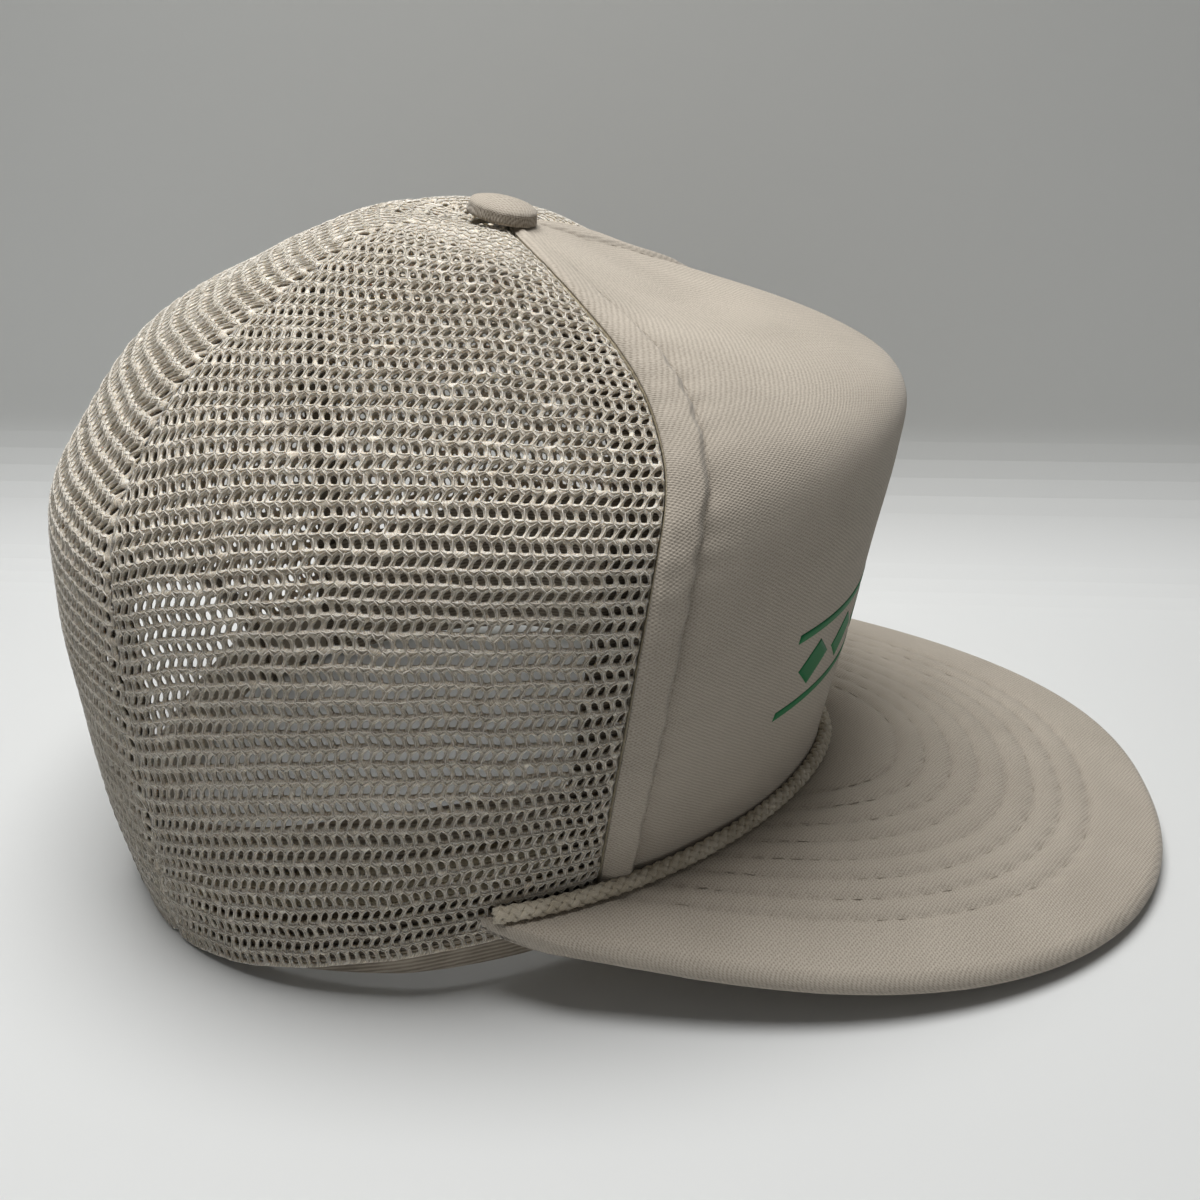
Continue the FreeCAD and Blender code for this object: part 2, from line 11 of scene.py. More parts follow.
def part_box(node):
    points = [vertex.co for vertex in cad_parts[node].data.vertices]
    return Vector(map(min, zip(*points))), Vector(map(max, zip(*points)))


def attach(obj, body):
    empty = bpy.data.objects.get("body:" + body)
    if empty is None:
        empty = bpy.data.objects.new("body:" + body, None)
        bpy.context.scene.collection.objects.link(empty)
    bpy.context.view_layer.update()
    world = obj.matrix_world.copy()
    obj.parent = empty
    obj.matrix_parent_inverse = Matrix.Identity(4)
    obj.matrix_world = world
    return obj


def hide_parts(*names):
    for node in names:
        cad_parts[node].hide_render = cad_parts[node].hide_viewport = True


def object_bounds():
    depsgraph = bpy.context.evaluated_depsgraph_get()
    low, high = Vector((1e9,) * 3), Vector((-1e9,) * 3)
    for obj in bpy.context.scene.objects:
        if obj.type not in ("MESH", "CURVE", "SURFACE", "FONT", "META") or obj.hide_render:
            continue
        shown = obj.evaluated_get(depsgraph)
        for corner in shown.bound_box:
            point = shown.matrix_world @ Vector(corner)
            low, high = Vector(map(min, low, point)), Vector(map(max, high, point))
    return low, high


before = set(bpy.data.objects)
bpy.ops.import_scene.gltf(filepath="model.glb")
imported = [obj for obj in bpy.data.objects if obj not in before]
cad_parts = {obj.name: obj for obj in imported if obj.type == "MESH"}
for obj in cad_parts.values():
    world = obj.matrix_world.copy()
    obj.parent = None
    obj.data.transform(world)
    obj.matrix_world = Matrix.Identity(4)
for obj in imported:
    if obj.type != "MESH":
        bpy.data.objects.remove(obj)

bl_info = {
    "name": "Trucker Cap",
    "version": (1, 0, 0),
    "blender": (4, 5, 0),
    "location": "3D View > Sidebar > Cap",
    "description": "Makes a foam-fronted mesh cap piece by piece round its packed frame",
    "category": "Add Mesh",
}

CAD_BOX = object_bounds()
MM = 0.001

# Crown: the driving sizes of the solids, in millimetres
CROWN_HEIGHT, FRONT_REACH, REAR_REACH, SIDE_REACH = 154.5, 93.5, 104.0, 84.0
BUTTON_Y, BELLY_Y = -6.0, 14.0
FRONT_CURVE = ((0.866, 0.110), (0.898, 0.246), (0.936, 0.401), (0.973, 0.557), (1.008, 0.685),
               (1.009, 0.760), (0.914, 0.806), (0.708, 0.849), (0.454, 0.879), (0.096, 0.986))
SIDE_CURVE = ((0.976, 0.091), (1.000, 0.233), (1.000, 0.388), (0.976, 0.544), (0.925, 0.669),
              (0.821, 0.756), (0.681, 0.832), (0.511, 0.905), (0.317, 0.973), (0.036, 0.986))
REAR_CURVE = ((0.952, 0.000), (0.981, 0.181), (0.988, 0.352), (0.986, 0.512), (0.961, 0.651),
              (0.856, 0.755), (0.719, 0.861), (0.519, 0.930), (0.278, 0.988), (-0.029, 0.986))
BASE_FRONT_POWER, FRONT_POWER, REAR_POWER = 1.6, 2.14, 2.32
HEM_RISE, HEM_RISE_START, HEM_RISE_END = 15.0, -10.0, 80.0
FRONT_SEAM = (57.0, 55.5, 52.0, 49.0, 50.0, 62.0)
REAR_SEAM = (132.0, 127.0, 128.0, 136.0, 144.0, 150.0)
SEAM_GAP = 0.2
MESH_OUTER, MESH_INNER = 0.8, 2.0                  # depths of the net's two sides below the outer skin
# Front panel
FRONT_LAYER, FOAM_LAYER = (0.0, -0.5), (-0.6, -3.15)
FRONT_ROW_POWER = 0.93                             # spreads the rows of the panel a little toward the hem
STRIP_DENSE, STRIP_SHARE = 13.0, 0.45              # width beside a seam, and its share of the columns
STRIP_WIDTH, STRIP_PUFF, PUCKER_PITCH = 7.4, 1.2, 9.5
STITCH_LINE, STITCH_LENGTH, STITCH_GAP, THREAD = 8.3, 2.2, 1.0, 0.26
# Net: heights are up the side of the crown
ROW = 3.3                                          # height of a row before it is stretched
SIDE_WIDTH, REAR_WIDTH = 126, 104                  # flat widths before the panels are trimmed to their seams
NET_TOP = 0.985
FOLD_DEPTH, FOLD_WIDTH = 0.7, 0.9
PUFF_HEIGHT, PUFF_MIDDLE, PUFF_SPREAD, PUFF_FROM, PUFF_FULL = 2.2, 0.925, 0.05, 78.0, 128.0
HOLE_FOOT, HOLE_TOP = (0.0, 0.05), (0.90, 0.80)    # band edges at open and closed columns, in rows
NET_LEVEL = (0.30, 0.10, 0.0, 0.10)                # height of the knit at crest, edge, strut and edge
LOST_STRANDS = 0.09
# Linings
TAPE_WIDTH, TAPE_DEPTH, TAPE_THICK = 10.0, 2.15, 0.8
FRONT_TAPE_THICK, HEM_TAPE_THICK, HEM_TAPE_TOP, TAPE_FOOT = 1.05, 1.2, 14.0, 15.0
BAND_FOOT, BAND_END_X, BAND_END_DEPTH = 0.8, 62.0, 5.2
PAD_TOP, PAD_DEPTH, PAD_THICK = 26.0, 3.4, 1.2
BAND_TOP, BAND_DEPTH, BAND_THICK = 38.0, 4.75, 0.8
# Visor
VISOR_HALF, VISOR_TIP, SPREAD_Y, VISOR_POWER = 83.5, 169.0, -43.0, 2.3
ROOT_Z, VISOR_SLOPE, VISOR_DROP, VISOR_END, VISOR_LEAD = 22.2, 0.173, 9.6, 76.0, 14.0
VISOR_THICK, ROOT_DIP, ROOT_DIP_WIDTH = 5.5, 1.8, 11.0
RIM, RIM_WIDTH, RIM_SHARE, RIM_POWER = VISOR_THICK / 2, 6.5, 0.14, 1.7
BOARD_TOP, COVER_WRAP, WRAP_WIDTH = 3.0, 1.75, 3.7
ROW_MARGIN, ROW_MARGIN_TIP, ROOT_MARGIN, VISOR_STITCH_GAP = 15.0, 18.0, 3.0, 1.4
# Rope
ROPE_END, STRAND_HALF, STRAND_TALL, WEAVE, ROPE_CORE, RINGS_PER_LAY = 74.0, 0.78, 0.48, 0.34, 0.8, 22
# Button
BUTTON_TILT, BUTTON_HEIGHT = 14.0, 4.0
BUTTON_BACK, BUTTON_UP = 0.5, 0.95                 # where its cloth stands from the tips of the panels
BUTTON_RIM = 0.8                                   # share of the layout that reaches the rim
# Rear opening
OPENING_HALF, OPENING_HEIGHT, OPENING_STRAIGHT, BINDING = 45.0, 55.0, 15.0, 4.0
OPENING_ARC = 62.0
# Stage, in metres and degrees
LAMP_SIZE, LAMP_PLACE = 0.40, (-0.01, 0.035, 0.67)
CAMERA_PLACE, CAMERA_YAW, CAMERA_PITCH, CAMERA_ROLL = (-0.26554, -0.05261, 0.206), -84, 29, -1.5
BOARD_BEND, BOARD_STEPS = 0.05, 12


# ------------------------------------------------------------------------------------ crown surface
def curve_at(points, t):
    """Catmull-Rom values at shares t of an evenly spaced list of points."""
    p = np.array(points, float).reshape(len(points), -1)
    p = np.concatenate([[2 * p[0] - p[1]], p, [2 * p[-1] - p[-2]]])
    place = np.clip(t, 0.0, 1.0) * (len(points) - 1)
    i = np.minimum(place.astype(int), len(points) - 2)
    f = (place - i)[..., None]
    a, b, c, d = (p[i + k] for k in range(4))
    square, cube = 2 * a - 5 * b + 4 * c - d, 3 * b - a - 3 * c + d
    return 0.5 * (2 * b + (c - a) * f + square * f ** 2 + cube * f ** 3)


def ease(low, high, x):
    u = np.clip((x - low) / (high - low), 0.0, 1.0)
    return u * u * (3 - 2 * u)


def skin(angle, t):
    """Outer skin in millimetres: angle in degrees from the front, t from hem (0) to button (1)."""
    angle, t = np.broadcast_arrays(np.asarray(angle, float), np.asarray(t, float))
    front, side, rear = (curve_at(curve, t) for curve in (FRONT_CURVE, SIDE_CURVE, REAR_CURVE))
    middle = BELLY_Y + (BUTTON_Y - BELLY_Y) * ease(0.3, 1.0, t)
    c, s = np.cos(np.radians(angle)), np.sin(np.radians(angle))
    ahead = c >= 0
    reach = np.where(ahead, middle + front[..., 0] * FRONT_REACH, rear[..., 0] * REAR_REACH - middle)
    end_rise = np.where(ahead, front[..., 1], rear[..., 1])
    foot_rise = np.where(ahead, FRONT_CURVE[0][1], REAR_CURVE[0][1])
    front_power = BASE_FRONT_POWER + (FRONT_POWER - BASE_FRONT_POWER) * ease(0.0, 0.4, t)
    power = np.where(ahead, front_power, REAR_POWER)
    power = 2 + (power - 2) * (1 - ease(0.6, 1.0, t))
    width = side[..., 0] * SIDE_REACH
    radius = (np.abs(c / reach) ** power + np.abs(s / width) ** power) ** (-1 / power)
    y = middle - radius * c
    z = CROWN_HEIGHT * (side[..., 1] + (end_rise - side[..., 1]) * c * c)
    foot = CROWN_HEIGHT * (SIDE_CURVE[0][1] + (foot_rise - SIDE_CURVE[0][1]) * c * c)
    hem = HEM_RISE * (1 - ease(HEM_RISE_START, HEM_RISE_END, y))
    z = z + (hem - foot) * np.clip(1 - t / 0.4, 0.0, 1.0) ** 2
    return np.stack([radius * s, y, z], axis=-1)


def crown(angle, t, lift):
    """Point that stands lift millimetres outside the skin, along its normal."""
    low, high = np.clip(t - 0.005, 0, 1), np.clip(t + 0.005, 0, 1)
    along = skin(angle + 0.5, t) - skin(angle - 0.5, t)
    normal = np.cross(along, skin(angle, high) - skin(angle, low))
    normal /= np.linalg.norm(normal, axis=-1, keepdims=True)
    return skin(angle, t) + normal * np.asarray(lift)[..., None]


STEPS_T = np.linspace(0, 1, 121)
STEPS_A = np.linspace(0, 180, 361)
GIRTH = np.zeros((121, 361))
GIRTH[:, 1:] = np.cumsum(np.linalg.norm(np.diff(skin(STEPS_A[None, :], STEPS_T[:, None]), axis=1), axis=2),
                         axis=1)
RISE = np.concatenate([[0], np.cumsum(np.linalg.norm(np.diff(skin(90.0, STEPS_T), axis=0), axis=1))])


def table_at(table, t, columns, x):
    """Bilinear value of a table of rows t (0 to 1) and evenly spaced columns."""
    r = np.clip(t, 0, 1) * (len(table) - 1)
    c = np.clip((x - columns[0]) / (columns[1] - columns[0]), 0, len(columns) - 1)
    i, j = np.minimum(r.astype(int), len(table) - 2), np.minimum(c.astype(int), len(columns) - 2)
    f, g = r - i, c - j
    top = table[i, j] * (1 - g) + table[i, j + 1] * g
    return top * (1 - f) + (table[i + 1, j] * (1 - g) + table[i + 1, j + 1] * g) * f


def girth_at(t, angle):
    """Millimetres round the crown from the front to this angle."""
    return table_at(GIRTH, t, STEPS_A, np.abs(angle)) * np.sign(angle)


AROUND = np.linspace(0, GIRTH.max(), 400)
ANGLES = np.array([np.interp(AROUND, row, STEPS_A) for row in GIRTH])


def angle_at(t, girth):
    return table_at(ANGLES, t, AROUND, np.abs(girth)) * np.sign(girth)


def t_at_rise(rise):
    """Share t of a height measured up the side of the crown, in millimetres."""
    return np.interp(rise, RISE, STEPS_T)


def rise_above_hem(angle, height):
    """t where the skin stands this far above its own hem."""
    low, high = np.zeros_like(angle), np.full_like(angle, 0.6)
    foot = skin(angle, low * 0)[..., 2]
    for _ in range(24):
        t = 0.5 * (low + high)
        below = skin(angle, t)[..., 2] - foot < height
        low, high = np.where(below, t, low), np.where(below, high, t)
    return low


def seam_angle(seam, t):
    return curve_at(seam, t)[..., 0]


def rear_angle_at(x, depth):
    """Angle of the back of the crown at this distance from the middle, below the skin by depth."""
    angles = np.linspace(90, 180, 721)
    return float(np.interp(-x, -crown(angles, angles * 0, angles * 0 - depth)[:, 0], angles))


# ------------------------------------------------------------------------------------ mesh helpers
def grid(columns, rows):
    """Flat sheet from 0 to 1 each way, in a new bmesh."""
    bm = bmesh.new()
    bmesh.ops.create_grid(bm, x_segments=columns, y_segments=rows, size=0.5)
    bmesh.ops.translate(bm, verts=bm.verts, vec=(0.5, 0.5, 0))
    return bm


def thicken(bm, depth=1.0):
    """Closes a flat sheet into a slab, with a second skin depth below it."""
    out = bmesh.ops.extrude_face_region(bm, geom=bm.faces[:])
    under = [part for part in out["geom"] if isinstance(part, bmesh.types.BMVert)]
    bmesh.ops.translate(bm, verts=under, vec=(0, 0, -depth))


def wrap(bm, name, place, material, body="cap", replaces=(), weld=0.0, sharp=None):
    """Turns a flat layout into a finished piece. place takes its points and gives points and UVs in
    millimetres, and shares from 0 to 1 of painted shade for each point, largest deep in a seam or groove."""
    me = bpy.data.meshes.new(name)
    bm.to_mesh(me)
    bm.free()
    flat = np.empty(len(me.vertices) * 3)
    me.vertices.foreach_get("co", flat)
    points, uv, crease_shade = place(flat.reshape(-1, 3))
    me.vertices.foreach_set("co", (points * MM).ravel())
    corner = np.empty(len(me.loops), int)
    me.loops.foreach_get("vertex_index", corner)
    me.uv_layers.new(name="Cloth").data.foreach_set("uv", (uv[corner] * MM).ravel())
    depth = np.broadcast_to(crease_shade, len(points)).astype(float)
    me.attributes.new("crease_shade", "FLOAT", "POINT").data.foreach_set("value", depth)
    return finish(me, name, material, body, replaces, weld, sharp)


def finish(me, name, material, body="cap", replaces=(), weld=0.0, sharp=None):
    """Cleans a mesh, faces it outward and makes it a piece of the cap."""
    bm = bmesh.new()
    bm.from_mesh(me)
    if weld:
        bmesh.ops.remove_doubles(bm, verts=bm.verts, dist=weld * MM)
    bmesh.ops.dissolve_degenerate(bm, edges=bm.edges, dist=1e-8)
    bmesh.ops.recalc_face_normals(bm, faces=bm.faces)
    if bm.calc_volume(signed=True) < 0:
        bmesh.ops.reverse_faces(bm, faces=bm.faces)
    if sharp:
        for edge in bm.edges:
            edge.smooth = len(edge.link_faces) == 2 and edge.calc_face_angle() < math.radians(sharp)
    for face in bm.faces:
        face.smooth = True
    bm.to_mesh(me)
    bm.free()
    if not me.polygons:
        raise RuntimeError(f"{name} has no faces: a size is out of its range")
    piece = bpy.data.objects.new(name, me)
    bpy.context.collection.objects.link(piece)
    piece.data.materials.append(material)
    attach(piece, body)
    if replaces:
        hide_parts(*replaces)
    return piece


def cap_sizes():
    return bpy.context.scene.cap_sizes


def paint_nodes(names, material):
    """Gives solids that stay in view their finish."""
    for name in names:
        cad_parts[name].data.materials.clear()
        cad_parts[name].data.materials.append(material)


def ripple(a, b, period, seed):
    """Smooth uneven field, about -1 to 1, over two lengths in the same unit."""
    rng = random.Random(seed)
    total = 0.0
    for k in range(4):
        turn, phase = rng.uniform(0, math.tau), rng.uniform(0, math.tau)
        wave = math.tau / (period * rng.uniform(0.7, 1.5))
        total = total + np.sin((a * math.cos(turn) + b * math.sin(turn)) * wave + phase)
    return total / 2.6


# ------------------------------------------------------------------------------------ materials
def linear(colour):
    """sRGB hex to linear RGBA."""
    parts = [int(colour[k:k + 2], 16) / 255 for k in (1, 3, 5)]
    return (*[p / 12.92 if p <= 0.04045 else ((p + 0.055) / 1.055) ** 2.4 for p in parts], 1.0)


def add(tree, kind, links=(), **settings):
    """Adds a node. links gives its sockets a value or another's output; settings are its properties."""
    made = tree.nodes.new(kind)
    for key, value in settings.items():
        setattr(made, key, value)
    for socket, value in dict(links).items():
        if isinstance(value, bpy.types.NodeSocket):
            tree.links.new(value, made.inputs[socket])
        else:
            made.inputs[socket].default_value = value
    return made


def surface(name, **settings):
    """New material with one Principled shader, and its tree."""
    material = bpy.data.materials.new(name)
    material.use_nodes = True
    tree = material.node_tree
    shader = tree.nodes["Principled BSDF"]
    for key, value in settings.items():
        shader.inputs[key.replace("_", " ")].default_value = value
    return material, tree, shader


def waves(tree, vector, along, period):
    """Sine of one coordinate with a period in metres."""
    part = add(tree, "ShaderNodeSeparateXYZ", {"Vector": vector}).outputs[along]
    turned = add(tree, "ShaderNodeMath", {0: part, 1: math.tau / period}, operation="MULTIPLY").outputs[0]
    return add(tree, "ShaderNodeMath", {0: turned}, operation="SINE").outputs[0]


def noise(tree, vector, scale, detail, roughness=0.5, output=0):
    """Noise over a vector, in cells per metre."""
    return add(tree, "ShaderNodeTexNoise", {"Vector": vector, "Scale": scale, "Detail": detail,
                                            "Roughness": roughness}).outputs[output]


def wobbled(tree, cloth, scale, detail, reach):
    """Cloth coordinates pushed about by noise, by up to reach in millimetres."""
    uneven = noise(tree, cloth, scale, detail, output="Color")
    shift = add(tree, "ShaderNodeVectorMath", {0: uneven, "Scale": reach * MM}, operation="SCALE").outputs[0]
    return add(tree, "ShaderNodeVectorMath", {0: cloth, 1: shift}, operation="ADD").outputs[0]


def coloured(tree, shader, share, low, high):
    """Base colour that runs from low to high with a share."""
    tint = add(tree, "ShaderNodeMix", {"Factor": share, 6: low, 7: high}, data_type="RGBA")
    tree.links.new(tint.outputs[2], shader.inputs["Base Color"])


def raised(tree, shader, height, strength, distance):
    """Relief of a height field, with its depth in millimetres."""
    bump = add(tree, "ShaderNodeBump", {"Height": height, "Strength": strength, "Distance": distance * MM})
    tree.links.new(bump.outputs[0], shader.inputs["Normal"])


def tricot(name, colour, shade, pitch=0.58):
    """Brushed nylon tricot laminated to foam: matt, with a soft bloom at grazing angles. Its fine loops sit
    in a staggered grid; they are 0.45 mm apart and drawn at 0.58 mm so that they show."""
    material, tree, shader = surface(name, Roughness=0.9, Specular_IOR_Level=0.25, Sheen_Weight=0.18,
                                     Sheen_Roughness=0.5)
    cloth = add(tree, "ShaderNodeUVMap", uv_map="Cloth").outputs[0]
    bent = wobbled(tree, cloth, 700.0, 1.0, 0.42)
    wale = waves(tree, bent, 0, 2 * pitch * MM)
    course = waves(tree, bent, 1, 1.5 * pitch * MM)
    loops = add(tree, "ShaderNodeMath", {0: wale, 1: course}, operation="MULTIPLY").outputs[0]
    fuzz = noise(tree, cloth, 2300.0, 2.0, 0.6)
    patchy = noise(tree, cloth, 45.0, 3.0, 0.6)
    crease_shade = add(tree, "ShaderNodeAttribute", attribute_name="crease_shade").outputs["Fac"]
    holes = add(tree, "ShaderNodeMapRange", {"Value": loops, 1: -0.9, 2: 0.15, 3: 0.40, 4: 0.0}).outputs[0]
    grain = add(tree, "ShaderNodeMapRange", {"Value": fuzz, 1: 0.35, 2: 0.65, 3: 0.28, 4: 0.0}).outputs[0]
    dark = add(tree, "ShaderNodeMath", {0: holes, 1: grain}, operation="ADD").outputs[0]
    cloudy = add(tree, "ShaderNodeMapRange", {"Value": patchy, 1: 0.3, 2: 0.7, 3: 0.0, 4: 0.14}).outputs[0]
    # Painted shade: the cloth darkens by the shade kept on its points, in seam grooves, stitch valleys and
    # down the button's side; cloudy adds random patches of tone.
    groove_shade_and_patches = add(tree, "ShaderNodeMath", {0: crease_shade, 1: 0.30, 2: cloudy}, operation="MULTIPLY_ADD").outputs[0]
    depth = add(tree, "ShaderNodeMath", {0: dark, 1: groove_shade_and_patches}, operation="ADD", use_clamp=True).outputs[0]
    relief = add(tree, "ShaderNodeMath", {0: fuzz, 1: 1.2, 2: loops}, operation="MULTIPLY_ADD").outputs[0]
    coloured(tree, shader, depth, colour, shade)
    raised(tree, shader, relief, 0.5, 0.10)
    return material


def knitted(name, colour, shade):
    """Knitted polyester yarn: satin fibres that run along the slant of the loops, told by the UVs, 0.2 mm
    apart and drawn a little coarser, with duller hollows between them. Light soaks through it."""
    material, tree, shader = surface(name, Roughness=0.45, Specular_IOR_Level=0.5, Sheen_Weight=0.25,
                                     Sheen_Roughness=0.4, Subsurface_Weight=0.6,
                                     Subsurface_Radius=(1.0, 0.85, 0.65), Subsurface_Scale=0.9 * MM)
    cloth = add(tree, "ShaderNodeUVMap", uv_map="Cloth").outputs[0]
    long = add(tree, "ShaderNodeVectorMath", {0: cloth, 1: (1.0, 0.28, 1.0)}, operation="MULTIPLY").outputs[0]
    fibres = noise(tree, long, 3000.0, 2.0, 0.7)
    patchy = noise(tree, cloth, 300.0, 2.0)
    mixed = add(tree, "ShaderNodeMath", {0: patchy, 1: 0.5, 2: fibres}, operation="MULTIPLY_ADD").outputs[0]
    share = add(tree, "ShaderNodeMapRange", {"Value": mixed, 1: 0.60, 2: 0.90}).outputs[0]
    coloured(tree, shader, share, shade, colour)
    raised(tree, shader, fibres, 0.8, 0.18)
    return material


def yarn(name, colour, shade, roughness, sheen, line=0.22, strength=0.6):
    """Filament yarn laid along the piece's own length: satin, with a bright and a dark side to each strand.
    line is the strand spacing in millimetres across the piece."""
    material, tree, shader = surface(name, Roughness=roughness, Specular_IOR_Level=0.45, Sheen_Weight=sheen,
                                     Sheen_Roughness=0.4)
    cloth = add(tree, "ShaderNodeUVMap", uv_map="Cloth").outputs[0]
    strands = waves(tree, wobbled(tree, cloth, 500.0, 2.0, 0.35), 1, line * MM)
    patchy = noise(tree, cloth, 120.0, 3.0)
    mixed = add(tree, "ShaderNodeMath", {0: strands, 1: 0.22, 2: patchy}, operation="MULTIPLY_ADD").outputs[0]
    share = add(tree, "ShaderNodeMapRange", {"Value": mixed, 1: 0.25, 2: 0.75, 3: 0.0, 4: 1.0}).outputs[0]
    coloured(tree, shader, share, colour, shade)
    raised(tree, shader, strands, strength, 0.08)
    return material


def grainy(name, colour, shade, roughness, grain, relief, metallic=0.0, **settings):
    """Plain surface with a fine even grain in millimetres: moulded plastic, foam cells, ink or tinplate."""
    material, tree, shader = surface(name, Roughness=roughness, Metallic=metallic, **settings)
    place = add(tree, "ShaderNodeTexCoord").outputs["Object"]
    cells = noise(tree, place, 1 / (grain * MM), 3.0)
    patchy = noise(tree, place, 60.0, 2.0)
    both = add(tree, "ShaderNodeMath", {0: cells, 1: patchy}, operation="ADD").outputs[0]
    share = add(tree, "ShaderNodeMapRange", {"Value": both, 1: 0.7, 2: 1.3}).outputs[0]
    coloured(tree, shader, share, colour, shade)
    raised(tree, shader, cells, 0.5, relief)
    return material


FINISHES = {}


def make_finishes():
    """Makes each material once. Its numbers are roughness, then sheen, or the grain's size and depth."""
    if FINISHES:
        return FINISHES
    c = bpy.context.scene.cap_colours
    soft = {"Specular_IOR_Level": 0.2}
    FINISHES.update(
        tricot=tricot("brushed_tricot", c.tricot, c.tricot_shade),
        net=knitted("warp_knit_polyester", c.net, c.net_shade),
        # smooth filaments, which catch the light along each limb of the net
        strand=yarn("nylon_strand", c.strand, c.strand_shade, 0.28, 0.25),
        # glossy soft rayon: a bright dash on each crossing of the braid
        rope=yarn("braided_rayon", c.rope, c.rope_shade, 0.38, 0.25, line=0.26, strength=0.7),
        # flat cotton twill: dull, with a coarse line along its length
        tape=yarn("twill_tape", c.tape, c.tape_shade, 0.8, 0.1, line=0.6),
        # ribbed cotton knit: dull, with deep ribs
        band=yarn("rib_knit", c.band, c.band_shade, 0.85, 0.2, line=1.1, strength=0.9),
        # spun thread: a little hairy, so its gloss is soft
        thread=yarn("spun_polyester_thread", c.thread, c.thread_shade, 0.6, 0.15, line=0.3),
        # cut foam: open cells that give no gloss at all
        foam=grainy("open_cell_foam", c.foam, c.foam_shade, 0.95, 0.5, 0.35, **soft),
        # injection-moulded strap: waxy, with a faint mould texture
        plastic=grainy("moulded_polyethylene", c.plastic, c.plastic_shade, 0.42, 0.6, 0.02,
                       Specular_IOR_Level=0.5),
        # die-cut sheet: waxy and nearly smooth
        board=grainy("cut_polyethylene_sheet", c.board, c.board_shade, 0.5, 0.8, 0.03),
        # pressed tinplate: grey, softly mirrored
        steel=grainy("tinned_pressed_steel", c.steel, c.steel_shade, 0.34, 0.3, 0.01, metallic=1.0),
        # screen-printed plastisol: a flat coat with a satin skin
        ink=grainy("screen_print_ink", c.ink, c.ink_shade, 0.6, 0.35, 0.03, Specular_IOR_Level=0.35),
    )
    return FINISHES


# ------------------------------------------------------------------------------------ front panel
def front_half(t):
    """Half the girth of the front panel, in millimetres."""
    return girth_at(t, seam_angle(FRONT_SEAM, t)) - SEAM_GAP


def front_place(layer):
    """Layout of the front panel: X across from seam to seam, Y from hem to button, Z 0 outside or -1 inside.
    The columns stand closer beside the seams."""
    def place(flat):
        u, t = flat[:, 0] * 2 - 1, flat[:, 1] ** FRONT_ROW_POWER
        half = front_half(t)
        dense = np.minimum(STRIP_DENSE, STRIP_SHARE * half)
        share, rest = np.abs(u), 1 - STRIP_SHARE
        edge = np.where(share > rest, dense * (1 - share) / STRIP_SHARE,
                        dense + (half - dense) * (rest - share) / rest)
        girth = (half - edge) * np.sign(u)
        angle = angle_at(t, girth)
        up = np.interp(t, STEPS_T, RISE)
        rise, crease_shade = front_relief(edge, up, half, girth)
        outer, inner = layer
        lift = np.where(flat[:, 2] > -0.5, outer, inner) + rise
        return crown(angle, t, lift), np.stack([girth, up * 1.05], axis=1), crease_shade
    return place


def front_relief(edge, up, half, girth):
    """Puffed strip along the seam, whose ridge drops steeply into a scalloped stitched groove."""
    size = np.minimum(STRIP_WIDTH, 0.3 * half) / STRIP_WIDTH
    pucker = np.sin(up * math.tau / PUCKER_PITCH + 1.9 * np.sin(up / 7.0)) * 0.5 + 0.5
    far = edge / (size + 0.001) - 0.7 * (pucker - 0.5)
    climb = ease(-0.5, 6.2, far) ** 0.8
    fall = 1 - ease(6.2, 8.4, far)
    settle = np.exp(-np.clip(far - 8.2, 0, None) / 3.2)
    rise = STRIP_PUFF * climb * fall - (0.40 + 0.35 * pucker) * (1 - fall) * settle
    rise = rise * size * (1 - 0.6 * ease(135.0, 165.0, up)) - 0.7 * np.exp(-(edge / 0.9) ** 2)
    rise = rise + 0.35 * ripple(girth, up, 60.0, 3) * ease(8.0, 30.0, edge)
    # Painted shade in the stitched groove beside the ridge, fading away from it.
    crease_shade = 0.7 * (1 - fall) * np.exp(-np.clip(far - 7.6, 0, None) / 1.3)
    return rise * ease(5.0, 12.0, up), crease_shade


